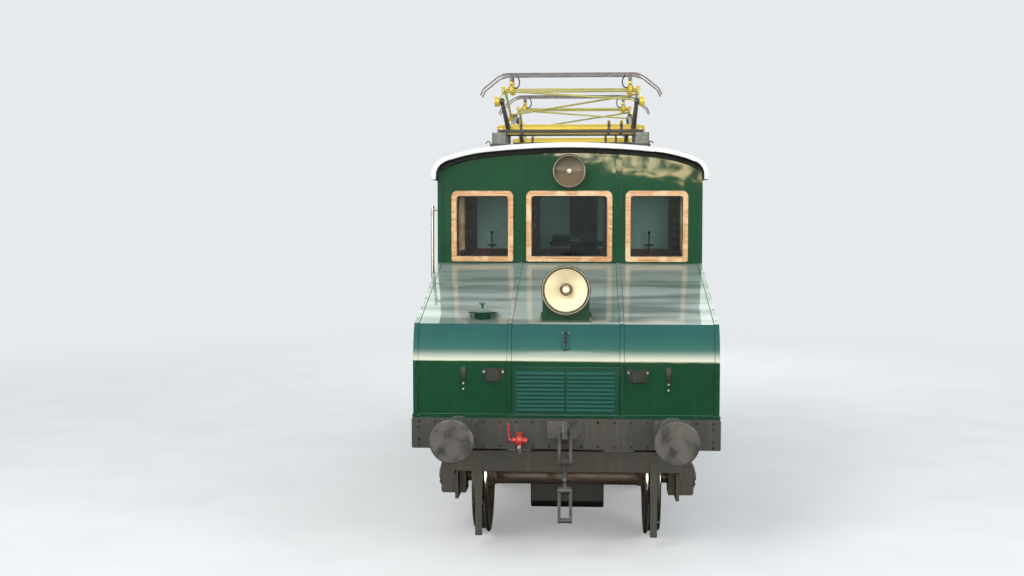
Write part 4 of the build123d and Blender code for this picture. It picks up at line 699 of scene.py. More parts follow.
@dataclass
class Piece:
    """One mesh of the model while it is being made.

    Attributes:
        name: Name in the scene.
        slot: Material slot of the record that it belongs to; not used.
        finish: Finish of its first material, and of what is added without one.
        body: CAD body that carries it.
        bm: Mesh being worked on.
        finishes: Every finish on it, in slot order.
    """

    name: str
    slot: str
    finish: Finish
    body: str = ROOT
    bm: bmesh.types.BMesh = field(default_factory=bmesh.new)
    finishes: list[Finish] = field(default_factory=list)

    def __post_init__(self) -> None:
        """Put the first finish in the list."""
        self.finishes.append(self.finish)

    def wear(self, finish: Finish) -> int:
        """Find a finish among the piece's own, or add it.

        Args:
            finish: The finish.

        Returns:
            Its slot number.
        """
        if finish not in self.finishes:
            self.finishes.append(finish)
        return self.finishes.index(finish)

    def _paint(self, before: set, finish: Finish | None) -> None:
        """Give every new face its finish.

        Args:
            before: Faces that were there before.
            finish: Finish of the new ones, or None for the piece's own.
        """
        number = self.wear(finish or self.finish)
        for face in self._fresh(before):
            face.material_index = number

    def _fresh(self, before: set) -> list[bmesh.types.BMFace]:
        """Faces made since before."""
        return [face for face in self.bm.faces if face not in before]

    def take(self, node: str) -> "Piece":
        """Copy a CAD node's mesh in and merge its loose corners.

        Args:
            node: The CAD node.

        Returns:
            This piece.
        """
        self.bm.from_mesh(frame["nodes"][node].data)
        bmesh.ops.remove_doubles(self.bm, verts=self.bm.verts, dist=2e-5)
        self.bm.normal_update()
        return self

    def rejoin(self) -> "Piece":
        """Join the triangles of each flat face of one finish.

        Returns:
            This piece.
        """
        bmesh.ops.dissolve_limit(self.bm, angle_limit=math.radians(0.6), verts=self.bm.verts,
                                 edges=self.bm.edges, delimit={"NORMAL", "MATERIAL"})
        return self

    def soften(self, width: float, segments: int = 2, angle: float = 32.0) -> "Piece":
        """Round off the sharp edges.

        Args:
            width: Width of the rounding, in metres.
            segments: Steps across it.
            angle: Smallest angle between two faces that counts as sharp, in degrees.

        Returns:
            This piece.
        """
        limit = math.radians(angle)
        sharp = [
            edge for edge in self.bm.edges
            if len(edge.link_faces) == 2 and edge.calc_face_angle(0.0) > limit and edge.calc_length() > width
        ]
        bmesh.ops.bevel(self.bm, geom=sharp, offset=width, offset_type="OFFSET", affect="EDGES",
                        segments=segments, profile=0.5, clamp_overlap=True, material=-1, loop_slide=True)
        return self

    def zone(self, finish: Finish, test: Test) -> "Piece":
        """Give a finish to the faces that pass a test.

        Args:
            finish: Finish for those faces.
            test: Picks the faces.

        Returns:
            This piece.
        """
        number = self.wear(finish)
        for face in self.bm.faces:
            if test(Spot(face.calc_center_median(), face.normal, face.calc_area())):
                face.material_index = number
        return self

    def box(self, size: Point, centre: Point, bevel: float, finish: Finish | None = None) -> None:
        """Add a box with rounded edges.

        Args:
            size: Lengths on X, Y and Z.
            centre: Its middle.
            bevel: Width of its rounded edges.
            finish: Its finish, or None for the piece's own.
        """
        before = set(self.bm.faces)
        place = Matrix.Translation(centre) @ Matrix.Diagonal((*size, 1.0))
        made = bmesh.ops.create_cube(self.bm, size=1.0, matrix=place)
        edges = list({edge for vert in made["verts"] for edge in vert.link_edges})
        bmesh.ops.bevel(self.bm, geom=edges, offset=bevel, offset_type="OFFSET", affect="EDGES",
                        segments=2, profile=0.5, clamp_overlap=True, material=-1)
        self._paint(before, finish)

    def lathe(self, profile: Profile, centre: Point, way: Way, steps: int, finish: Finish | None = None,
              flip: bool = False) -> None:
        """Add a turned shape.

        Args:
            profile: Distance along the axis and radius of each point in turn, in millimetres.
            centre: Where distance 0 lies.
            way: Direction of the axis.
            steps: Steps round it.
            finish: Its finish, or None for the piece's own.
            flip: Points the axis the other way.
        """
        before = set(self.bm.faces)
        verts = [self.bm.verts.new((radius * MM, 0.0, along * MM)) for along, radius in profile]
        edges = [self.bm.edges.new(pair) for pair in zip(verts, verts[1:])]
        bmesh.ops.spin(self.bm, geom=verts + edges, cent=(0, 0, 0), axis=(0, 0, 1), dvec=(0, 0, 0),
                       angle=math.tau, steps=steps, use_merge=True, use_duplicate=False)
        self._paint(before, finish)
        fresh = list({vert for face in self._fresh(before) for vert in face.verts})
        bmesh.ops.remove_doubles(self.bm, verts=fresh, dist=1e-6)
        faces = self._fresh(before)
        bmesh.ops.recalc_face_normals(self.bm, faces=faces)
        turn = Matrix.Rotation(math.pi, 4, "X") if flip else Matrix.Identity(4)
        bmesh.ops.transform(self.bm, matrix=Matrix.Translation(centre) @ aim(way.value) @ turn,
                            verts=list({vert for face in faces for vert in face.verts}))

    def bar(self, start: Point, stop: Point, radius: float, steps: int = 16,
            finish: Finish | None = None) -> None:
        """Add a round bar between two points.

        Args:
            start: One end's centre.
            stop: The other end's centre.
            radius: Its radius.
            steps: Steps round it.
            finish: Its finish, or None for the piece's own.
        """
        before = set(self.bm.faces)
        first, last = Vector(start), Vector(stop)
        place = Matrix.Translation((first + last) / 2) @ aim(last - first)
        bmesh.ops.create_cone(self.bm, cap_ends=True, segments=steps, radius1=radius, radius2=radius,
                              depth=(last - first).length, matrix=place)
        self._paint(before, finish)

    def ball(self, centre: Point, radius: float, squash: Point = (1.0, 1.0, 1.0),
             finish: Finish | None = None) -> None:
        """Add a ball.

        Args:
            centre: Its middle.
            radius: Its radius before it is squashed.
            squash: Factor on each axis.
            finish: Its finish, or None for the piece's own.
        """
        before = set(self.bm.faces)
        place = Matrix.Translation(centre) @ Matrix.Diagonal((*squash, 1.0))
        bmesh.ops.create_uvsphere(self.bm, u_segments=16, v_segments=8, radius=radius, matrix=place)
        self._paint(before, finish)

    def rivets(self, first: Point, last: Point, count: int, out: Point, radius: float = 0.006,
               hexagon: bool = False) -> None:
        """Add a row of rivet or bolt heads.

        Args:
            first: Place of the first head.
            last: Place of the last head.
            count: Number of heads.
            out: Direction that the heads stand out.
            radius: Radius of a head.
            hexagon: Makes six-sided bolt heads in place of domes.
        """
        before = set(self.bm.faces)
        start, stop = Vector(first), Vector(last)
        for step in range(count):
            place = Matrix.Translation(start.lerp(stop, step / (count - 1))) @ aim(out)
            if hexagon:
                bmesh.ops.create_cone(self.bm, cap_ends=True, segments=6, radius1=radius,
                                      radius2=radius * 0.94, depth=radius * 1.2, matrix=place)
            else:
                bmesh.ops.create_uvsphere(self.bm, u_segments=8, v_segments=5, radius=radius,
                                          matrix=place @ Matrix.Diagonal((1, 1, 0.6, 1)))
        self._paint(before, None)

    def tube(self, points: Sequence[Point], radius: float, steps: int = 3, closed: bool = False,
             straight: bool = True) -> None:
        """Add a pipe, bead or cable along a line.

        Args:
            points: Control points of the line.
            radius: Radius of the pipe.
            steps: Roundness of the pipe.
            closed: Joins the ends.
            straight: Runs straight from point to point in place of a smooth bend.
        """
        before = set(self.bm.faces)
        curve = bpy.data.curves.new("pipe", "CURVE")
        curve.dimensions = "3D"
        curve.bevel_depth = radius
        curve.bevel_resolution = steps
        curve.resolution_u = 8
        curve.use_fill_caps = not closed
        spline = curve.splines.new("POLY" if straight else "NURBS")
        spline.points.add(len(points) - 1)
        for control, point in zip(spline.points, points):
            control.co = (*point, 1.0)
        if not straight:
            spline.order_u = 3
            spline.use_endpoint_u = True
        spline.use_cyclic_u = closed
        holder = bpy.data.objects.new("pipe", curve)
        mesh = bpy.data.meshes.new_from_object(holder)
        self.bm.from_mesh(mesh)
        bpy.data.meshes.remove(mesh)
        bpy.data.objects.remove(holder)
        bpy.data.curves.remove(curve)
        self._paint(before, None)

    def other_end(self) -> "Piece":
        """Repeat everything so far at the other end, turned half round.

        Returns:
            This piece.
        """
        geom = self.bm.verts[:] + self.bm.edges[:] + self.bm.faces[:]
        made = bmesh.ops.duplicate(self.bm, geom=geom)["geom"]
        verts = [item for item in made if isinstance(item, bmesh.types.BMVert)]
        bmesh.ops.transform(self.bm, matrix=Matrix.Rotation(math.pi, 4, "Z"), verts=verts)
        return self

    def turn_round(self) -> None:
        """Turn everything so far half round, to the other end."""
        bmesh.ops.transform(self.bm, matrix=Matrix.Rotation(math.pi, 4, "Z"), verts=self.bm.verts)

    def done(self, *nodes: str, angle: float = 34.0) -> None:
        """Make the scene object.

        Args:
            nodes: CAD nodes that it stands for.
            angle: Largest angle between two faces that is shaded smooth, in degrees.
        """
        mesh = bpy.data.meshes.new(self.name)
        self.bm.to_mesh(mesh)
        self.bm.free()
        if "custom_normal" in mesh.attributes:
            mesh.attributes.remove(mesh.attributes["custom_normal"])
        for finish in self.finishes:
            mesh.materials.append(finish.material())
        mesh.shade_smooth()
        mesh.set_sharp_from_angle(angle=math.radians(angle))
        made = bpy.data.objects.new(self.name, mesh)
        bpy.context.scene.collection.objects.link(made)
        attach(made, self.body)
        if nodes:
            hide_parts(*nodes)
            made.modifiers.new("Flat faces", "WEIGHTED_NORMAL").keep_sharp = True
        log.info("%s: %d faces on %s", self.name, len(mesh.polygons), self.body)


def rounded_outline(width: float, height: float, top: float, bottom: float) -> list[tuple[float, float]]:
    """Points round a rectangle with rounded corners.

    Args:
        width: Its width.
        height: Its height.
        top: Radius of the upper corners.
        bottom: Radius of the lower corners.

    Returns:
        Across and up of each point, from the middle.
    """
    points = []
    corners = ((1, 1, top), (-1, 1, top), (-1, -1, bottom), (1, -1, bottom))
    for quarter, (across, up, radius) in enumerate(corners):
        for step in range(5):
            angle = math.radians(90 * quarter + 22.5 * step)
            points.append((across * (width / 2 - radius) + radius * math.cos(angle),
                           up * (height / 2 - radius) + radius * math.sin(angle)))
    return points


def dress(node: str, finish: Finish, width: float, angle: float = 32.0, segments: int = 2,
          zones: Sequence[tuple[Finish, Test]] = ()) -> None:
    """Make a copy of a CAD node with its edges rounded and its finishes on.

    Args:
        node: CAD node that the piece stands for.
        finish: Its main finish.
        width: Width of the rounded edges, in metres.
        angle: Smallest angle between two faces that is rounded, in degrees.
        segments: Steps across a rounded edge.
        zones: Other finishes, each with the test that picks its faces.
    """
    record = frame["record"]
    body = next(body for body, nodes in record["behaviour"]["bodies"].items() if node in nodes)
    slot = next(part["material_slot"] for part in record["subparts"] if part["node"] == node)
    piece = Piece(f"{node}_dressed", slot, finish, body).take(node)
    for other, test in zones:
        piece.zone(other, test)
    if width:
        piece.rejoin().soften(width, segments, angle)
    piece.done(node)


def finish_node(node: str, finish: Finish) -> None:
    """Put a finish on a CAD node that keeps its own shape.

    Args:
        node: The CAD node.
        finish: Its finish.
    """
    shown = frame["nodes"][node]
    if not shown.material_slots:
        shown.data.materials.append(None)
    for slot in shown.material_slots:
        slot.link = "OBJECT"
        slot.material = finish.material()
    log.info("%s: finished as %s", node, finish.name)


# Sub-assemblies


@dataclass
class Hoods:
    """Both hoods with their louvre panels, vents, brackets and straps.

    Attributes:
        face_y: Distance of the upright fronts from the middle.
        low: Start of the slope, as distance from the middle and height.
        high: End of the slope, likewise.
        bend: Radius of the rounded shoulder.
        bend_z: Height where it starts.
        bend_angle: Its angle, in degrees.
        strip_x: Distance of the cover strips from the middle.
        edge_x: Distance of the edge strips from the middle.
        strip_half: Distance of a seam from its strip's middle.
        seam: Radius of a seam.
        base_z: Height of the bottom flange's middle.
        strap_x: Distance of the straps from the middle.
        bracket_x: Distance of the lamp brackets from the middle.
        lean: Turn of the catches, in degrees.
    """

    face_y: float = 4.1
    low: tuple[float, float] = (4.0, 1.936)
    high: tuple[float, float] = (2.3, 2.366)
    bend: float = 0.5556
    bend_z: float = 1.618
    bend_angle: float = 34.9
    strip_x: float = 0.464
    edge_x: float = 1.240
    strip_half: float = 0.0185
    seam: float = 0.0018
    base_z: float = 1.178
    strap_x: float = 0.843
    bracket_x: float = 0.594
    lean: float = -19.0

    def build(self) -> None:
        """Make both hoods and everything on them."""
        for end in ENDS:
            # the hood's inner faces get the near-black painted shade
            dress(f"{end}_hood", GREEN, 0.003, zones=[(PAINTED_SHADE, self._inside), (BLACK, self._slot)])
        louvres = Piece("hood_louvres_dressed", "body_green", LOUVRE_GREEN).take("hood_louvres")
        louvres.zone(SIDE_LOUVRE, lambda spot: abs(spot.at.x) > 1.0).done("hood_louvres", angle=20.0)
        dress("hood_vents", GREEN, 0.003)
        dress("hood_fittings", BLACK, 0.002, zones=[
            (GREEN, lambda spot: abs(spot.at.x) > 0.75 and spot.at.z < 1.472)])
        self._screws()
        self._bolts()
        self._seams()
        self._catches()

    def _inside(self, spot: Spot) -> bool:
        """True on the hood's inner faces."""
        outward = Vector((spot.at.x * 0.4, spot.at.y - math.copysign(1.6, spot.at.y), 1.0))
        return spot.out.dot(outward) < -0.1 and abs(spot.at.x) < 1.2305

    def _slot(self, spot: Spot) -> bool:
        """True on the catch's slot and rod."""
        return abs(spot.at.x) < 0.0095 and spot.area < 0.003 and 1.65 < spot.at.z < 1.95

    def _screws(self) -> None:
        """Set countersunk screws along the cover strips and the bottom flange."""
        screws = Piece("hood_screws", "body_green", GREEN)
        (low_y, low_z), (high_y, high_z) = self.low, self.high
        tilt = math.atan2(high_z - low_z, low_y - high_y)
        face = -self.face_y - 0.0065
        out = (0.0, -math.sin(tilt), math.cos(tilt))
        back, rise = 0.0065 * out[1], 0.0065 * out[2]
        for x in (-self.edge_x, -self.strip_x, self.strip_x, self.edge_x):
            screws.rivets((x, face, 1.26), (x, face, 1.58), 4, AHEAD)
            screws.rivets((x, -low_y + 0.08 + back, low_z + 0.08 * math.tan(tilt) + rise),
                          (x, -high_y - 0.05 + back, high_z - 0.05 * math.tan(tilt) + rise), 12, out)
        base = -self.face_y - 0.0085
        screws.rivets((-1.22, base, self.base_z), (1.22, base, self.base_z), 17, AHEAD)
        for side in SIDES:
            x = side * 1.2685
            screws.rivets((x, -4.05, self.base_z), (x, -2.36, self.base_z), 12, (side, 0, 0))
        screws.other_end().done()

    def _bolts(self) -> None:
        """Put bolts on the lamp brackets and the straps, and plates on the straps."""
        bolts = Piece("hood_bolts", "rail_steel", STEEL)
        plates = Piece("hood_strap_plates", "black_paint", BLACK)
        face = -self.face_y - 0.0165
        for side in SIDES:
            x = side * self.strap_x
            low, high = side * self.bracket_x - 0.078, side * self.bracket_x + 0.078
            bracket = -self.face_y - 0.009
            bolts.rivets((low, bracket, 1.549), (high, bracket, 1.549), 2, AHEAD, 0.010, hexagon=True)
            bolts.rivets((x, face, 1.405), (x, face, 1.452), 2, AHEAD, 0.009)
            plates.box((0.038, 0.006, 0.118), (x, face, 1.532), 0.002)
            plates.rivets((x, face - 0.005, 1.495), (x, face - 0.005, 1.565), 2, AHEAD)
        bolts.other_end().done()
        plates.other_end().done()

    def _line(self, x: float, proud: float) -> list[Point]:
        """Points up the front, round the bend and up the slope of the front hood.

        Args:
            x: Where the line runs.
            proud: Its distance outside the sheet.

        Returns:
            The points.
        """
        points = [(x, -self.face_y - proud, 1.19), (x, -self.face_y - proud, self.bend_z)]
        for step in range(1, 9):
            turned = math.radians(self.bend_angle) * step / 8
            points.append((x, -self.face_y + self.bend - (self.bend + proud) * math.cos(turned),
                           self.bend_z + (self.bend + proud) * math.sin(turned)))
        return points + [(x, -y, z + proud) for y, z in (self.low, self.high)]

    def _seams(self) -> None:
        """Draw the dark joints beside the cover strips and the beads of the front."""
        seams = Piece("hood_seams", "black_paint", BLACK)
        for side in SIDES:
            for beside in (-self.strip_half, self.strip_half):
                seams.tube(self._line(side * self.strip_x + beside, 0.0003), self.seam, steps=0)
            seams.tube(self._line(side * (self.edge_x - 0.0215), 0.0003), self.seam, steps=0)
        seams.other_end().done()
        beads = Piece("hood_beads", "body_green", GREEN)
        outline = rounded_outline(0.874, 0.398, 0.006, 0.006)
        front = -self.face_y - 0.0185
        beads.tube([(across, front, 1.390 + up) for across, up in outline], 0.0028, steps=1, closed=True)
        for side in SIDES:
            ends = [(side * x, -self.face_y - 0.009, 1.1955) for x in (0.485, 1.215)]
            beads.tube(ends, 0.0035, steps=1)
        beads.other_end().done()

    def _catches(self) -> None:
        """Fit the catch with its plate and dark drop handle on each shoulder."""
        catch = Piece("hood_latches", "body_green", GREEN)
        lean = Matrix.Rotation(math.radians(self.lean), 4, "X")
        centre = Vector((0.0, -self.face_y + 0.0235, 1.800))
        outline = rounded_outline(0.066, 0.150, 0.018, 0.026)
        rim = [lean @ Vector((across, 0.0, up)) + centre for across, up in outline]
        catch.tube(rim, 0.0045, steps=1, closed=True)
        before = set(catch.bm.verts)
        catch.lathe([(60, 0), (58, 4), (40, 7), (12, 13), (-10, 15), (-24, 10), (-28, 0)], (0.0, 0.0, 0.0),
                    Way.Z, 16, finish=BLACK)
        fresh = [vert for vert in catch.bm.verts if vert not in before]
        place = Matrix.Translation((0.0, -self.face_y + 0.016, 1.815)) @ lean
        bmesh.ops.transform(catch.bm, matrix=place, verts=fresh)
        catch.other_end().done()


@dataclass
class CabWalls:
    """Four walls with their rivets and inner panelling, and the middle wall.

    Attributes:
        half_width: Half the body's width.
        half_cab: Half the cab's length.
        strip_x: Distance of the cover strips from the middle.
        strip_half: Distance of each rivet line from its strip's middle.
        head: Radius of the rivets on the strips.
        low_z: Height where the rivets of the ends begin.
    """

    half_width: float = 1.26
    half_cab: float = 2.3
    strip_x: float = 0.472
    strip_half: float = 0.021
    head: float = 0.0065
    low_z: float = 2.40

    def build(self) -> None:
        """Make the walls, their rivets and their seams."""
        for wall in ("front", "rear", "left", "right"):
            dress(f"{wall}_cab_wall", GREEN, 0.0025, zones=[(INNER_WOOD, self._inside)])
        dress("cab_partition", INNER_WOOD, 0.004)
        heads = Piece("cab_rivets", "body_green", GREEN)
        strip, plain = -self.half_cab - 0.0065, -self.half_cab - 0.001
        for side in SIDES:
            for line in (-self.strip_half, self.strip_half):
                x = side * self.strip_x + line
                heads.rivets((x, strip, self.low_z), (x, strip, 3.36), 17, AHEAD, self.head)
            x = side * 1.237
            heads.rivets((x, strip, self.low_z), (x, strip, 3.10), 11, AHEAD, self.head)
            heads.rivets((side * 1.20, plain, 3.145), (side * 0.53, plain, 3.145), 10, AHEAD)
            heads.rivets((side * 0.42, plain, 3.09), (side * 0.20, plain, 3.09), 4, AHEAD)
        left = -self.half_width - 0.001
        for y in (0.0, 1.203):
            for line in (-self.strip_half, self.strip_half):
                x = left - 0.0055
                heads.rivets((x, y + line, 1.22), (x, y + line, 2.34), 17, LEFT, self.head)
        heads.rivets((left, -1.40, 1.19), (left, 2.22, 1.19), 28, LEFT)
        heads.rivets((left, -2.22, 3.10), (left, 2.22, 3.10), 34, LEFT)
        heads.other_end().done()
        seams = Piece("cab_seams", "black_paint", BLACK)
        joint = -self.half_cab - 0.0003
        for side in SIDES:
            for x, top in ((self.strip_x - 0.0315, 3.33), (self.strip_x + 0.0315, 3.33), (1.2105, 3.10)):
                seams.bar((side * x, joint, 2.385), (side * x, joint, top), 0.0016, 6)
        seams.other_end().done()

    def _inside(self, spot: Spot) -> bool:
        """True on faces that look into the cab or lie in a window's reveal."""
        return abs(spot.at.x) < self.half_width - 0.004 and abs(spot.at.y) < self.half_cab - 0.004


@lru_cache
def roof_faces() -> BVHTree:
    """Gather the roof's faces once.

    Returns:
        The faces, ready to be probed.
    """
    mesh = frame["nodes"]["cab_roof"].data
    faces = [face.vertices for face in mesh.polygons]
    return BVHTree.FromPolygons([vert.co for vert in mesh.vertices], faces)


@dataclass
class Roof:
    """White arched roof with its underside in near-black painted shade, hooks, seams and cornices.

    Attributes:
        seam_ys: Places of the raised seams.
        seam_half: Half the length of a seam.
        cornice_y: Place of the front cornice.
        cornice_half: Half its length.
        hook: Place of the left hook of the front end.
    """

    seam_ys: tuple[float, ...] = (-2.30, -0.76, 0.76, 2.30)
    seam_half: float = 1.285
    cornice_y: float = -2.312
    cornice_half: float = 1.225
    hook: tuple[float, float] = (0.745, -2.37)

    def build(self) -> None:
        """Make the roof and its fittings."""
        # the roof's underside gets the near-black painted shade
        dress("cab_roof", ROOF_WHITE, 0.012, segments=3, zones=[(PAINTED_SHADE, self._under)])
        seams = Piece("roof_seams", "roof_white", ROOF_WHITE)
        for y in self.seam_ys:
            across = [self.seam_half * step / 16 for step in range(-16, 17)]
            seams.tube([(x, y, self._probe(x, y, True) + 0.001) for x in across], 0.007, steps=1)
        seams.done()
        # The cornice is a near-black band under the roof's front edge; it is partly a moulding, partly a
        # painted shadow under the roof's edge.
        cornice = Piece("roof_cornice_and_shadow", "black_paint", PAINTED_SHADE)
        y = self.cornice_y
        across = [self.cornice_half * step / 20 for step in range(-20, 21)]
        cornice.tube([(x, y, self._probe(x, y, False) - 0.022) for x in across], 0.024, steps=2)
        cornice.other_end().done()
        hooks = Piece("roof_hooks", "black_paint", BLACK)
        for side in SIDES:
            x, y = side * self.hook[0], self.hook[1]
            top = self._probe(x, y, True)
            hooks.tube([(x, y, top - 0.004), (x, y, top + 0.045), (x + side * 0.03, y, top + 0.055),
                        (x + side * 0.045, y, top + 0.03)], 0.005, straight=False)
        hooks.other_end().done()

    def _under(self, spot: Spot) -> bool:
        """True on the roof's underside."""
        return abs(spot.out.y) <= 0.7 and spot.out.dot(Vector((-spot.at.x, 0.0, 2.7 - spot.at.z))) > 0.05

    def _probe(self, x: float, y: float, above: bool) -> float:
        """Height at a place of the roof's upper face, or of its lower one, in metres."""
        start, way = (6.0, -1.0) if above else (2.6, 1.0)
        return roof_faces().ray_cast(Vector((x, y, start)), Vector((0, 0, way)))[0].z


@dataclass
class Windows:
    """Wooden frames and panes.

    Attributes:
        bar: Width of a frame's bars.
        middle_z: Height of the windows' middle.
        height: Height of a frame.
        fronts: Place and width of each window in a cab end.
        sides: Place of each window in the left wall.
        side_width: Width of a side window.
    """

    bar: float = 0.048
    middle_z: float = 2.7175
    height: float = 0.673
    fronts: tuple[tuple[float, float], ...] = ((-0.830, 0.590), (0.0, 0.818), (0.830, 0.590))
    sides: tuple[float, ...] = (-0.602, 0.602, 1.805)
    side_width: float = 0.70

    def build(self) -> None:
        """Make the frames with their grain, and glaze them."""
        piece = Piece("window_frames_dressed", "window_wood", WOOD).take("window_frames").rejoin()
        self._mark_grain(piece.bm)
        piece.soften(0.009, 3, 40.0).done("window_frames")
        # the middle wall's panes get the opaque pale grey-green, dust film and painted reflection
        dress("window_glass", PANE, 0.0, zones=[
            (DUST_AND_GLARE_PANE, lambda spot: abs(spot.at.y) < 0.05 and abs(spot.at.x) < 1.19)])
        for side in ("left", "right"):
            finish_node(f"{side}_door_glass", PANE)
        self._beads()
        self._screws()

    def _mark_grain(self, bm: bmesh.types.BMesh) -> None:
        """Mark the corners of the upright bars, so that the grain runs up them.

        Args:
            bm: Mesh of the frames.
        """
        layer = bm.verts.layers.float.new("upright")
        seen: set = set()
        for vert in bm.verts:
            if vert in seen:
                continue
            island, stack = [], [vert]
            seen.add(vert)
            while stack:
                here = stack.pop()
                island.append(here)
                around = [edge.other_vert(here) for edge in here.link_edges]
                fresh = [other for other in around if other not in seen]
                seen.update(fresh)
                stack.extend(fresh)
            heights = [corner.co.z for corner in island]
            low, high = min(heights) + self.bar * 1.15, max(heights) - self.bar * 1.15
            for corner in island:
                corner[layer] = 1.0 if low < corner.co.z < high else 0.0

    def _outline(self, width: float) -> list[tuple[float, float]]:
        """Points round the pane of a window."""
        frame_bars = 2 * self.bar + 0.004
        return rounded_outline(width - frame_bars, self.height - frame_bars, 0.031, 0.010)

    def _beads(self) -> None:
        """Lay a dark bead round each pane."""
        beads = Piece("window_beads", "black_paint", RUBBER)
        panes = [[(x + across, -2.281, self.middle_z + up) for across, up in self._outline(width)]
                 for x, width in self.fronts]
        panes += [[(-1.241, y + across, self.middle_z + up) for across, up in self._outline(self.side_width)]
                  for y in self.sides]
        for pane in panes:
            beads.tube(pane, 0.005, steps=1, closed=True)
        beads.other_end().done()

    def _screws(self) -> None:
        """Set brass screws into the frames of the cab ends."""
        screws = Piece("window_screws", "rail_steel", BRASS)
        for x, width in self.fronts:
            for side in SIDES:
                across, up = x + side * (width / 2 - 0.055), self.height / 2 - 0.024
                screws.rivets((across, -2.3145, self.middle_z - up), (across, -2.3145, self.middle_z + up),
                              2, AHEAD, 0.005)
        screws.other_end().done()


@dataclass
class Lamps:
    """Headlights and upper lamps with their bowls, bulbs and lenses.

    Attributes:
        head_z: Height of the headlights' axis.
        head_y: Distance of the headlights' face from the middle.
        head_bowl: Radius of their bowls.
        upper_z: Height of the upper lamps' axis.
        upper_y: Distance of the upper lamps' face from the middle.
        upper_bowl: Radius of the upper lamps' glass.
    """

    head_z: float = 2.214
    head_y: float = 3.985
    head_bowl: float = 0.183
    upper_z: float = 3.240
    upper_y: float = 2.370
    upper_bowl: float = 0.146

    def build(self) -> None:
        """Make every lamp."""
        # the headlight bowls get the pale cream reflector, a painted reflection
        dress("lamp_housings", LAMP_GREEN, 0.004, zones=[
            (RIM_BROWN, self._rim), (REFLECTOR, self._bowl), (DULL_REFLECTOR, self._upper_bowl),
            (BLACK, self._upper_rim)])
        finish_node("lamp_lenses", LENS)
        # thin rings in the cream painted highlight round the lamps' glass
        rings = Piece("lamp_rings", "pantograph_yellow", RING_HIGHLIGHT)
        rings.lathe([(0, 146), (6, 146), (7, 148), (6, 150), (0, 150.5)],
                    (0.0, -self.upper_y, self.upper_z), Way.Y, 48, flip=True)
        rings.lathe([(0, 194), (3, 194.5), (3, 198.5), (0, 199)], (0.0, -self.head_y, self.head_z), Way.Y,
                    64, flip=True)
        rings.other_end().done()
        bulbs = Piece("lamp_bulbs", "lens_glass", BULB)
        bulbs.lathe([(0, 0), (4, 16), (20, 27), (40, 27), (62, 14), (85, 13), (85, 0)],
                    (0.0, -self.head_y + 0.058, self.head_z), Way.Y, 24)
        bulbs.lathe([(0, 30), (10, 52), (14, 52), (12, 30)], (0.0, -self.head_y + 0.108, self.head_z),
                    Way.Y, 32, finish=DULL_REFLECTOR)
        bulbs.ball((0.0, -self.upper_y + 0.035, self.upper_z), 0.022)
        bulbs.lathe([(0, 14), (24, 14), (24, 0)], (0.0, -self.upper_y + 0.034, self.upper_z), Way.Y, 16,
                    finish=BRASS)
        bulbs.other_end().done()
        feet = Piece("lamp_foot_bolts", "lamp_paint", LAMP_GREEN)
        for side in SIDES:
            x = side * 0.205
            feet.rivets((x, -3.955, 1.968), (x, -3.78, 2.012), 2, (0, -0.245, 0.97), 0.008, hexagon=True)
        feet.other_end().done()

    def _from_head(self, spot: Spot) -> float:
        """Distance from the headlights' axis."""
        return math.hypot(spot.at.x, spot.at.z - self.head_z)

    def _from_upper(self, spot: Spot) -> float:
        """Distance from the upper lamps' axis."""
        return math.hypot(spot.at.x, spot.at.z - self.upper_z)

    def _bowl(self, spot: Spot) -> bool:
        """Find the inside of a headlight's bowl.

        Args:
            spot: The face.

        Returns:
            True where it lies in the bowl.
        """
        depth = self.head_y - abs(spot.at.y)
        return (self._from_head(spot) < self.head_bowl + 0.001 and 0.001 < depth < 0.17
                and not (abs(spot.out.y) > 0.999 and depth < 0.045))

    def _upper_bowl(self, spot: Spot) -> bool:
        """True inside an upper lamp."""
        return self._from_upper(spot) < self.upper_bowl + 0.001 and abs(spot.at.y) < self.upper_y - 0.001

    def _upper_rim(self, spot: Spot) -> bool:
        """True on an upper lamp's outer rim."""
        return self.upper_bowl + 0.001 < self._from_upper(spot) < self.upper_bowl + 0.02

    def _rim(self, spot: Spot) -> bool:
        """True on a headlight's front rim."""
        return self._from_head(spot) > self.head_bowl - 0.004 and abs(spot.at.y) > self.head_y - 0.004


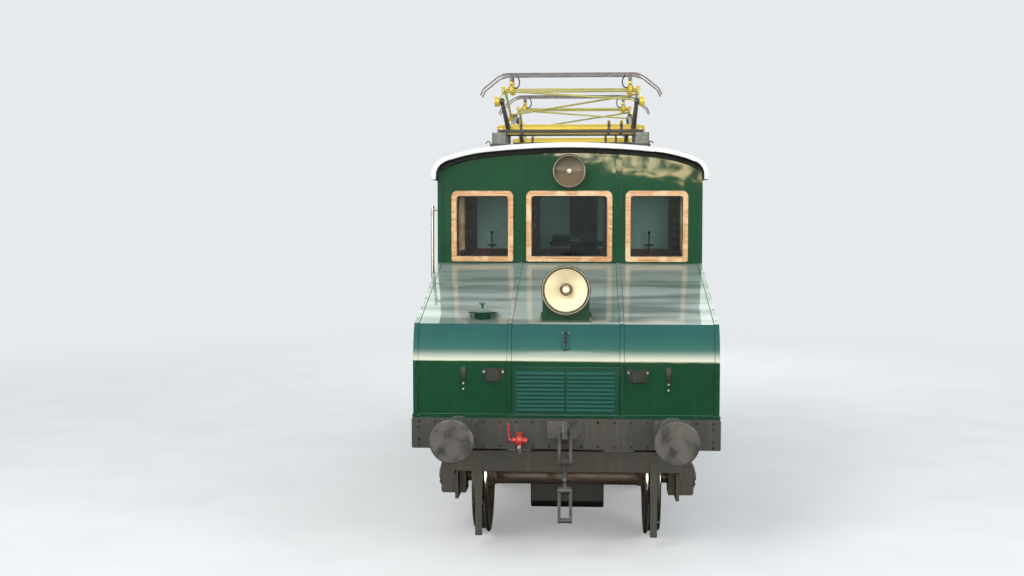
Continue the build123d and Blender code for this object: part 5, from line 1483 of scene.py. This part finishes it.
@dataclass
class Doors:
    """Side doors with mouldings, hinges and handles.

    Attributes:
        middle_y: Place of the left door's middle.
        face_x: Place of its outer face.
        width: Its width.
        bottom_z: Height of its bottom.
        panels: Bottom and top of each moulded panel.
        glass_z: Height of the glass's middle.
    """

    middle_y: float = -1.805
    face_x: float = -1.245
    width: float = 0.64
    bottom_z: float = 1.168
    panels: tuple[tuple[float, float], ...] = ((1.258, 1.72), (1.80, 2.30))
    glass_z: float = 2.7175

    def build(self) -> None:
        """Make both doors."""
        for side in ("left", "right"):
            dress(f"{side}_door", GREEN, 0.003, zones=[
                (BRASS, self._handle),
                (STEEL, lambda spot: abs(spot.at.x) < 1.1995 and spot.area < 0.01),
                (INNER_WOOD, lambda spot: abs(spot.at.x) < 1.2005)])
            trim = Piece(f"{side}_door_trim", "body_green", GREEN, f"{side}_door")
            face = self.face_x - 0.003
            for low, high in self.panels:
                for z in (low, high):
                    trim.box((0.008, self.width - 0.14, 0.020), (face, self.middle_y, z), 0.003)
                for across in SIDES:
                    y = self.middle_y + across * (self.width / 2 - 0.07)
                    trim.box((0.008, 0.020, high - low + 0.02), (face, y, (low + high) / 2), 0.003)
            outline = rounded_outline(0.465, 0.698, 0.066, 0.032)
            points = [(face + 0.002, self.middle_y + across, self.glass_z + up) for across, up in outline]
            trim.tube(points, 0.009, steps=2, closed=True)
            trim.box((0.003, self.width - 0.10, 0.085), (face + 0.002, self.middle_y, self.bottom_z + 0.048),
                     0.001, finish=STEEL)
            if side == "right":
                trim.turn_round()
            trim.done()

    def _handle(self, spot: Spot) -> bool:
        """True on the door's handle."""
        return abs(spot.at.x) > 1.2455 and spot.area < 0.01 and 1.98 < spot.at.z < 2.16


@dataclass
class Underframe:
    """Main frame, beams, buffers, couplings, brake cocks, steps and air tanks.

    Attributes:
        beam_y: Distance of the beams' faces from the middle.
        buffer_x: Distance of the buffers from the middle.
        buffer_z: Height of the buffers' axes.
        cock: Middle of the front brake cock.
        sole_x: Place of the left sole bar's face.
        pipe: Place of the left pipe, across and up.
    """

    beam_y: float = 4.130
    buffer_x: float = 0.875
    buffer_z: float = 1.078
    cock: Point = (-0.372, -4.250, 1.008)
    sole_x: float = -1.2362
    pipe: tuple[float, float] = (-1.08, 0.97)

    def build(self) -> None:
        """Make every piece below the deck."""
        for node, finish, width in (
                ("main_frame", FRAME_BROWN, 0.003), ("buffer_beams", FRAME_BROWN, 0.004),
                ("buffers", BUFFER, 0.004), ("draw_hooks", BUFFER, 0.005), ("front_coupling", BUFFER, 0.003),
                ("rear_coupling", BUFFER, 0.003)):
            dress(node, finish, width)
        self._cocks()
        dress("cab_steps", BLACK, 0.003)
        dress("handrails", STEEL, 0.0, zones=[(BLACK, lambda spot: abs(spot.at.x) < 1.2695)])
        dress("air_tanks", BLACK, 0.004)
        self._rivets()
        self._bolts()
        self._sides()

    def _cocks(self) -> None:
        """Fit a red cock with its lever and a capped outlet on each beam."""
        cocks = Piece("brake_cocks_dressed", "brake_red", RED)
        middle = Vector(self.cock)
        for start, stop, radius, steps, finish in (
                ((0.0, 0.124, 0.0), (0.0, 0.03, 0.0), 0.020, 16, BUFFER),
                ((0.0, 0.116, 0.0), (0.0, 0.102, 0.0), 0.034, 6, BUFFER),
                ((0.0, 0.0, 0.0), (0.0, 0.0, 0.056), 0.019, 16, RED),
                ((0.0, 0.0, 0.050), (0.0, 0.0, 0.064), 0.027, 6, RED),
                ((-0.045, 0.0, 0.0), (0.052, 0.0, 0.0), 0.021, 16, RED),
                ((0.0, 0.0, 0.0), (0.0, 0.0, -0.052), 0.022, 16, RED),
                ((0.0, 0.0, -0.045), (0.0, 0.0, -0.066), 0.029, 6, STEEL),
                ((0.0, 0.0, -0.060), (0.0, 0.0, -0.090), 0.0235, 20, BUFFER),
                ((0.0, 0.0, -0.086), (0.0, 0.0, -0.106), 0.0265, 20, BUFFER)):
            cocks.bar(middle + Vector(start), middle + Vector(stop), radius, steps, finish)
        for centre, radius, squash in (
                ((0.0, 0.0, 0.0), 0.037, (1.0, 0.95, 1.1)), ((0.054, 0.0, 0.0), 0.026, (0.7, 1.0, 1.0)),
                ((-0.047, 0.0, 0.0), 0.024, (0.7, 1.0, 1.0)),
                ((-0.090, -0.018, 0.130), 0.010, (1.0, 1.0, 1.0))):
            cocks.ball(middle + Vector(centre), radius, squash)
        lever = ((-0.045, -0.016, 0.004), (-0.075, -0.018, -0.006), (-0.084, -0.018, 0.035),
                 (-0.090, -0.018, 0.128))
        cocks.tube([middle + Vector(point) for point in lever], 0.0075, straight=False)
        cocks.other_end().done("brake_cocks")

    def _rivets(self) -> None:
        """Rivet the beams."""
        heads = Piece("beam_rivets", "frame_paint", BLACK)
        face = -self.beam_y - 0.001
        for z in (0.938, 1.140):
            heads.rivets((-1.21, face, z), (1.21, face, z), 19, AHEAD, 0.013)
        for side in SIDES:
            heads.rivets((side * 1.21, face, 0.990), (side * 1.21, face, 1.09), 2, AHEAD, 0.013)
        heads.other_end().done()

    def _bolts(self) -> None:
        """Bolt the buffers and hook plates on and lay rings round the buffers."""
        bolts = Piece("buffer_bolts", "buffer_steel", BUFFER)
        rings = Piece("buffer_rings", "buffer_steel", BUFFER)
        plate = -self.beam_y - 0.028
        for across in (-0.122, 0.122):
            for middle, low, high, radius in (
                    (-self.buffer_x, 0.960, 1.130, 0.016), (0.0, 1.028, 1.128, 0.015),
                    (self.buffer_x, 0.960, 1.130, 0.016)):
                x = middle + across
                bolts.rivets((x, plate, low), (x, plate, high), 2, AHEAD, radius, hexagon=True)
        for side in SIDES:
            for along in (0.052, 0.318):
                radius = 108 - 12 * along / 0.33
                ring = [(-12, radius), (-9, radius + 7), (9, radius + 7), (12, radius)]
                rings.lathe(ring, (side * self.buffer_x, -self.beam_y - along, self.buffer_z), Way.Y, 40)
        bolts.other_end().done()
        rings.other_end().done()

    def _sides(self) -> None:
        """Rivet the sole bars and run a pipe along each."""
        heads = Piece("frame_rivets", "frame_paint", FRAME_BROWN)
        for z in (0.930, 1.125):
            heads.rivets((self.sole_x, -4.0, z), (self.sole_x, 4.0, z), 48, LEFT, 0.009)
        heads.other_end().done()
        pipes = Piece("frame_pipes", "black_paint", BLACK)
        across, up = self.pipe
        pipes.tube([(across, y, up) for y in (-4.07, -1.9, 1.9, 4.07)], 0.017)
        pipes.other_end().done()


@dataclass
class Bogies:
    """Bogie frames, axle boxes with springs, motors and wheelsets.

    Attributes:
        axle_ys: Places of the wheelsets.
        pivot_y: Distance of the bogies' middles from the middle.
        axle_z: Height of the axles.
        tread_radius: Radius of the wheels' running surface.
        plate_x: Distance of the bolts on the frame plates from the middle.
        lid_x: Distance of the bolts on the axle boxes' lids from the middle.
        lid_radius: Radius of the circle that those bolts stand on.
        hanger_x: Distance of the spring hangers from the middle.
    """

    axle_ys: tuple[float, ...] = (-3.2, -1.2, 1.2, 3.2)
    pivot_y: float = 2.2
    axle_z: float = 0.503
    tread_radius: float = 0.475
    plate_x: float = 0.987
    lid_x: float = 1.134
    lid_radius: float = 0.074
    hanger_x: float = 1.035

    def build(self) -> None:
        """Make both bogies."""
        for end, way in ENDS.items():
            dress(f"{end}_bogie_frame", BOGIE_BLACK, 0.004)
            dress(f"{end}_axle_boxes", BOGIE_BLACK, 0.003)
            dress(f"{end}_traction_motors", BLACK, 0.012, segments=3)
            self._bolts(end, -self.pivot_y * way)
        for number, y in enumerate(self.axle_ys, start=1):
            dress(f"wheelset_{number}", WHEEL, 0.003, zones=[
                (TREAD, lambda spot: spot.from_axis(y, self.axle_z) > self.tread_radius - 0.006
                 and abs(spot.out.x) < 0.8)])

    def _bolts(self, end: str, middle: float) -> None:
        """Bolt the pedestals, lids and spring hangers of one bogie.

        Args:
            end: Its end of the locomotive.
            middle: Place of its middle.
        """
        bolts = Piece(f"{end}_bogie_bolts", "bogie_paint", BOGIE_BLACK, f"{end}_bogie")
        corner = self.lid_radius * math.sqrt(0.5)
        for side in SIDES:
            out = (side, 0, 0)
            plate, lid, hanger = side * self.plate_x, side * self.lid_x, side * self.hanger_x
            for axle_y in (middle - 1.0, middle + 1.0):
                for y in (axle_y - 0.165, axle_y + 0.165):
                    bolts.rivets((plate, y, 0.42), (plate, y, 0.80), 5, out, 0.012, hexagon=True)
                for y in (axle_y - corner, axle_y + corner):
                    bolts.rivets((lid, y, self.axle_z - corner), (lid, y, self.axle_z + corner), 2, out,
                                 0.009, hexagon=True)
                for y in (axle_y - 0.4, axle_y + 0.4):
                    bolts.bar((hanger, y, 0.735), (hanger, y, 0.80), 0.014)
                    bolts.bar((hanger, y, 0.725), (hanger, y, 0.738), 0.024, 6)
            bolts.rivets((plate, middle - 1.52, 0.80), (plate, middle + 1.52, 0.80), 20, out, 0.009)
        bolts.done()


@dataclass
class Pantographs:
    """Bases, folding frames and collector heads.

    Attributes:
        centre_y: Distance of the pantographs' middles from the middle.
        shaft_off: Distance of the shafts from a pantograph's middle.
        shaft_z: Height of the shafts.
        knee_off: Distance of the knees from a pantograph's middle.
        knee_z: Height of the knees.
        apex_z: Height of the upper shafts.
        bow_z: Height of the bows' middle.
        carrier_x: Distance of the head's carriers from the middle.
        horn_x: Distance from the middle where the horns start.
        horn_trim: What the horns' rods lose in radius.
    """

    centre_y: float = 1.35
    shaft_off: float = 0.13
    shaft_z: float = 3.690
    knee_off: float = 1.1001
    knee_z: float = 3.8874
    apex_z: float = 4.0847
    bow_z: float = 4.2407
    carrier_x: float = 0.60
    horn_x: float = 0.70
    horn_trim: float = 0.0035

    def build(self) -> None:
        """Make both pantographs."""
        for end, way in ENDS.items():
            middle = -self.centre_y * way
            dress(f"{end}_pantograph_base", YELLOW, 0.003, zones=[(BLACK, lambda spot: spot.at.z < 3.6705)])
            for half, sign in (("front", -1.0), ("rear", 1.0)):
                shaft_y, knee_y = middle + sign * self.shaft_off, middle + sign * self.knee_off
                dress(f"{end}_pantograph_lower_{half}", YELLOW, 0.002, zones=[
                    (ARM_BROWN, lambda spot: spot.from_axis(shaft_y, self.shaft_z) > 0.052)])
                self._cams(end, half, shaft_y)
                dress(f"{end}_pantograph_upper_{half}", YELLOW, 0.001, zones=[
                    (PALE_YELLOW, lambda spot: abs(spot.at.x) < 0.640 or (
                        spot.from_axis(knee_y, self.knee_z) > 0.055
                        and spot.from_axis(shaft_y, self.apex_z) > 0.038))])
            name = f"{end}_pantograph_head"
            head = Piece(f"{name}_dressed", "contact_strip", YELLOW, name).take(name)
            head.zone(ARM_BROWN, lambda spot: spot.at.z > self.apex_z + 0.062)
            head.zone(STRIP, self._bow).rejoin()
            self._thin_horns(head, middle)
            head.soften(0.002).done(name)
            self._drums(end, middle)
            self._shunts(end, middle - self.shaft_off)
        dress("pantograph_feet", BLACK, 0.006)
        dress("pantograph_insulators", GLAZE, 0.004, angle=40.0)

    def _bow(self, spot: Spot) -> bool:
        """True on the two bows and their horns."""
        return spot.at.z > self.bow_z - 0.0205 or abs(spot.at.x) > self.carrier_x + 0.03

    def _thin_horns(self, head: Piece, middle: float) -> None:
        """Draw the horns of both bows out into thin rods.

        Args:
            head: The collector head.
            middle: Place of the pantograph's middle.
        """
        head.bm.normal_update()
        for vert in head.bm.verts:
            if abs(vert.co.x) < self.horn_x:
                continue
            bow_y = middle + math.copysign(self.shaft_off, vert.co.y - middle)
            flat = Vector((vert.normal.x, 0.0, vert.normal.z))
            if flat.length > 0.1:
                vert.co -= flat.normalized() * self.horn_trim
            vert.co.y = bow_y + (vert.co.y - bow_y) * 0.5

    def _drums(self, end: str, middle: float) -> None:
        """Put spring drums under the bows.

        Args:
            end: The pantograph's end of the locomotive.
            middle: Place of its middle.
        """
        drums = Piece(f"{end}_head_drums", "pantograph_yellow", YELLOW, f"{end}_pantograph_head")
        for x in (-self.carrier_x, self.carrier_x):
            for y in (middle - self.shaft_off, middle + self.shaft_off):
                centre = (x, y, self.apex_z)
                drums.lathe([(-30, 0), (-30, 26), (-22, 33), (-16, 33), (-12, 27), (-4, 27), (0, 35),
                            (10, 36), (14, 28), (22, 28), (26, 33), (36, 28), (40, 0)], centre, Way.Z, 20)
                for low in (-10, 16):
                    groove = [(low, 0), (low, 28.5), (low + 5, 28.5), (low + 5, 0)]
                    drums.lathe(groove, centre, Way.Z, 20, finish=ARM_BROWN)
                drums.lathe([(52, 0), (52, 20), (66, 22), (80, 16), (82, 0)], centre, Way.Z, 16)
        drums.done()

    def _shunts(self, end: str, y: float) -> None:
        """Hang the shunts between head and upper shafts.

        Args:
            end: The pantograph's end of the locomotive.
            y: Place of the drums that they hang beside.
        """
        shunts = Piece(f"{end}_head_shunts", "black_paint", RUBBER, f"{end}_pantograph_head")
        for side in SIDES:
            shunts.tube([
                (side * 0.585, y, self.apex_z + 0.012), (side * 0.535, y - 0.02, self.apex_z + 0.010),
                (side * 0.515, y - 0.035, self.apex_z + 0.055), (side * 0.520, y - 0.02, self.bow_z - 0.05),
                (side * 0.545, y, self.bow_z - 0.018)], 0.007, steps=2, straight=False)
        shunts.done()

    def _cams(self, end: str, half: str, shaft_y: float) -> None:
        """Set the cams of the raising springs on one shaft.

        Args:
            end: The pantograph's end of the locomotive.
            half: Half of the pantograph.
            shaft_y: Place of the shaft.
        """
        cams = Piece(f"{end}_{half}_cams", "pantograph_yellow", YELLOW, f"{end}_pantograph_lower_{half}")
        for x in (-0.50, 0.385, 0.51):
            centre = (x, shaft_y, self.shaft_z + 0.052)
            cams.lathe([(-17, 0), (-17, 30), (-11, 33), (-6, 24), (6, 24), (11, 33), (17, 30), (17, 0)],
                       centre, Way.X, 20)
            cams.lathe([(-6.5, 0), (-6.5, 28.5), (6.5, 28.5), (6.5, 0)], centre, Way.X, 20,
                       finish=ARM_BROWN)
            cams.lathe([(-14, 0), (-14, 48.5), (14, 48.5), (14, 0)], (x, shaft_y, self.shaft_z), Way.X, 24,
                       finish=ARM_BROWN)
        cams.done()


@dataclass
class Interior:
    """Cupboards, control stands and stools inside the cab.

    Attributes:
        lever_xs: Places of the levers.
        gauge_xs: Places of the gauges.
    """

    lever_xs: tuple[float, ...] = (-0.905, 0.860)
    gauge_xs: tuple[float, ...] = (0.09, 0.23)

    def build(self) -> None:
        """Make the cab's fittings."""
        dress("control_cabinet", CAB_GREY, 0.004)
        dress("control_stands", CAB_GREY, 0.004, zones=[(BRASS, lambda spot: spot.at.z > 2.345)])
        dress("driver_stools", LEATHER, 0.004, zones=[(BLACK, lambda spot: spot.at.z < 1.7235)])
        shelf = Piece("cab_instruments", "cab_grey", CAB_GREY)
        shelf.box((0.58, 0.17, 0.05), (0.05, -0.506, 2.50), 0.006)
        shelf.box((0.20, 0.12, 0.07), (-0.12, -0.50, 2.555), 0.01)
        for x in self.gauge_xs:
            shelf.lathe([(0, 0), (0, 50), (28, 52), (30, 46), (26, 44), (26, 0)], (x, -0.424, 2.66), Way.Y,
                        28, finish=BLACK, flip=True)
        shelf.lathe([(0, 62), (18, 60), (40, 44), (52, 22), (56, 0)], (0.03, -0.53, 2.525), Way.Z, 28,
                    finish=SHADE_BLUE)
        for x in self.lever_xs:
            shelf.bar((x, -0.03, 2.38), (x, -0.07, 2.60), 0.008, finish=BLACK)
            shelf.ball((x, -0.072, 2.61), 0.018, finish=BLACK)
            shelf.bar((x - 0.05, -0.05, 2.47), (x + 0.05, -0.05, 2.47), 0.009, finish=BLACK)
        shelf.other_end().done()


@dataclass
class Studio:
    """Pale floor, soft lamps, white surroundings and the photograph's camera.

    Attributes:
        backdrop: Colour behind the locomotive.
        hedge: Colour of the near surroundings below the bright rim.
        eye: Camera's place.
        turn_left: Camera's turn to the left of the track, in degrees.
        tilt_down: Camera's tilt below the horizon, in degrees.
        focal: Focal length on a 36 mm sensor.
    """

    backdrop: Colour = (0.80, 0.82, 0.84)
    hedge: Colour = (0.05, 0.07, 0.045)
    eye: Point = (0.19, -14.8, 2.92)
    turn_left: float = 3.37
    tilt_down: float = 3.63
    focal: float = 46.02

    def build(self) -> None:
        """Make the floor, the lights, the world and the camera."""
        self._floor()
        self._world()
        self._lamp("Key", (-6.0, -12.0, 10.5), (0.0, -2.0, 1.8), 7.0, 1150.0, (1.0, 0.97, 0.93))
        self._lamp("Fill", (9.0, -9.0, 6.0), (0.0, -1.0, 1.5), 6.0, 420.0, (0.93, 0.97, 1.0))
        self._lamp("Back", (2.0, 12.0, 8.0), (0.0, 2.0, 2.0), 7.0, 520.0, (1.0, 1.0, 1.0))
        self._camera()
        bpy.context.scene.view_settings.view_transform = "Standard"

    def _floor(self) -> None:
        """Make a pale floor that keeps the locomotive's shadow and fades into the backdrop."""
        bm = bmesh.new()
        bmesh.ops.create_grid(bm, x_segments=1, y_segments=1, size=140.0)
        mesh = bpy.data.meshes.new("floor")
        bm.to_mesh(mesh)
        bm.free()
        floor = bpy.data.objects.new("floor", mesh)
        bpy.context.scene.collection.objects.link(floor)
        material = bpy.data.materials.new("Pale floor")
        material.use_nodes = True
        material.node_tree.nodes.clear()
        graph = Graph(material.node_tree)
        where = graph.objects()
        mottle = graph.ramp(graph.noise(where, 0.8, 3.0), 0.3, 0.7)
        away = graph.add("VectorMath", {0: where}, operation="LENGTH").outputs["Value"]
        ray = graph.add("LightPath").outputs
        mirrored = graph.minus(ray["Is Glossy Ray"], ray["Is Transmission Ray"])
        colour = graph.mix(mirrored, graph.mix(mottle, (0.60, 0.60, 0.59), (0.64, 0.64, 0.63)),
                           (0.045, 0.055, 0.04))
        matt = graph.add("BsdfDiffuse", {"Color": colour}).outputs[0]
        lit = graph.add("AddShader", {0: matt, 1: graph.emit((1.0, 1.0, 1.0), 0.28)}).outputs[0]
        seen = graph.blend(graph.ramp(away, 5.0, 17.0), lit, graph.emit(self.backdrop, 1.0))
        seen_by = graph.plus(ray["Is Camera Ray"], ray["Is Transmission Ray"])
        graph.add("OutputMaterial", {"Surface": graph.blend(seen_by, matt, seen)})
        mesh.materials.append(material)

    def _world(self) -> None:
        """Make surroundings that are pale to the camera and a sky with a bright rim to everything else."""
        world = bpy.data.worlds.new("Surroundings")
        bpy.context.scene.world = world
        world.use_nodes = True
        world.node_tree.nodes.clear()
        graph = Graph(world.node_tree)
        direction = graph.add("TexCoord").outputs["Generated"]
        across, along, height = (graph.split(direction, axis) for axis in "XYZ")
        ray = graph.add("LightPath").outputs
        ahead = graph.ramp(graph.product(along, -1.0), 0.15, 0.6)
        facing = graph.mix(graph.ramp(height, 0.10, 0.9), (0.42, 0.98, 1.08), (0.24, 0.66, 0.88))
        behind = graph.mix(graph.ramp(along, 0.25, 0.7), (0.26, 0.38, 0.36), (0.80, 0.90, 0.84))
        shine = graph.sky(graph.mix(ahead, behind, facing), 2.3)
        glow = graph.mix(graph.ramp(height, 0.01, 0.09), (0.60, 0.43, 0.20), (1.0, 0.95, 0.80))
        rim = graph.product(graph.ramp(height, 0.42, 0.02), ahead)
        shine = graph.blend(rim, shine, graph.sky(glow, 19.0))
        ragged = graph.noise(graph.stretch(direction, (110.0, 1.0, 190.0)), 1.0, 6.0, 0.62)
        edge = graph.plus(graph.ramp(across, -0.06, 0.07, 0.021, -0.003), graph.product(ragged, 0.040))
        leaves = graph.noise(graph.stretch(direction, (80.0, 1.0, 230.0)), 1.0, 6.0, 0.72)
        leaves = graph.plus(graph.ramp(leaves, 0.44, 0.57), graph.ramp(height, 0.045, 0.060))
        above = graph.product(graph.ramp(graph.minus(height, edge), 0.0, 0.003), leaves)
        shine = graph.blend(above, graph.sky(self.hedge, 1.0), shine)
        soft = graph.mix(graph.ramp(height, 0.05, 0.7), (0.60, 0.59, 0.55), (0.42, 0.50, 0.58))
        lit = graph.blend(ray["Is Glossy Ray"], graph.sky(soft, 1.0), shine)
        seen = graph.plus(ray["Is Camera Ray"], ray["Is Transmission Ray"])
        graph.add("OutputWorld", {"Surface": graph.blend(seen, lit, graph.sky(self.backdrop, 1.0))})

    def _lamp(self, name: str, place: Point, target: Point, size: float, power: float,
              colour: Colour) -> None:
        """Hang one soft square lamp.

        Args:
            name: Its name.
            place: Where it hangs.
            target: Where it looks.
            size: Length of its side.
            power: Its power, in watts.
            colour: Its colour.
        """
        light = bpy.data.lights.new(name, "AREA")
        light.shape = "SQUARE"
        light.size = size
        light.energy = power
        light.color = colour
        lamp = bpy.data.objects.new(name, light)
        lamp.location = place
        lamp.rotation_euler = (Vector(target) - Vector(place)).to_track_quat("-Z", "Y").to_euler()
        lamp.visible_glossy = False
        bpy.context.scene.collection.objects.link(lamp)

    def _camera(self) -> None:
        """Set the camera as the photograph was taken."""
        lens = bpy.data.cameras.new("Camera")
        lens.sensor_width = 36.0
        lens.lens = self.focal
        lens.clip_end = 300.0
        camera = bpy.data.objects.new("Camera", lens)
        camera.location = self.eye
        camera.rotation_euler = (math.radians(90.0 - self.tilt_down), 0.0, math.radians(self.turn_left))
        bpy.context.scene.collection.objects.link(camera)
        bpy.context.scene.camera = camera


def main() -> None:
    """Build every sub-assembly in order."""
    logging.basicConfig(level=logging.INFO, format="%(name)s %(message)s")
    for assembly in (Hoods(), CabWalls(), Roof(), Windows(), Lamps(), Doors(), Underframe(), Bogies(),
                     Pantographs(), Interior(), Studio()):
        log.info("building %s", type(assembly).__name__)
        assembly.build()


if __name__ == "__main__":
    main()
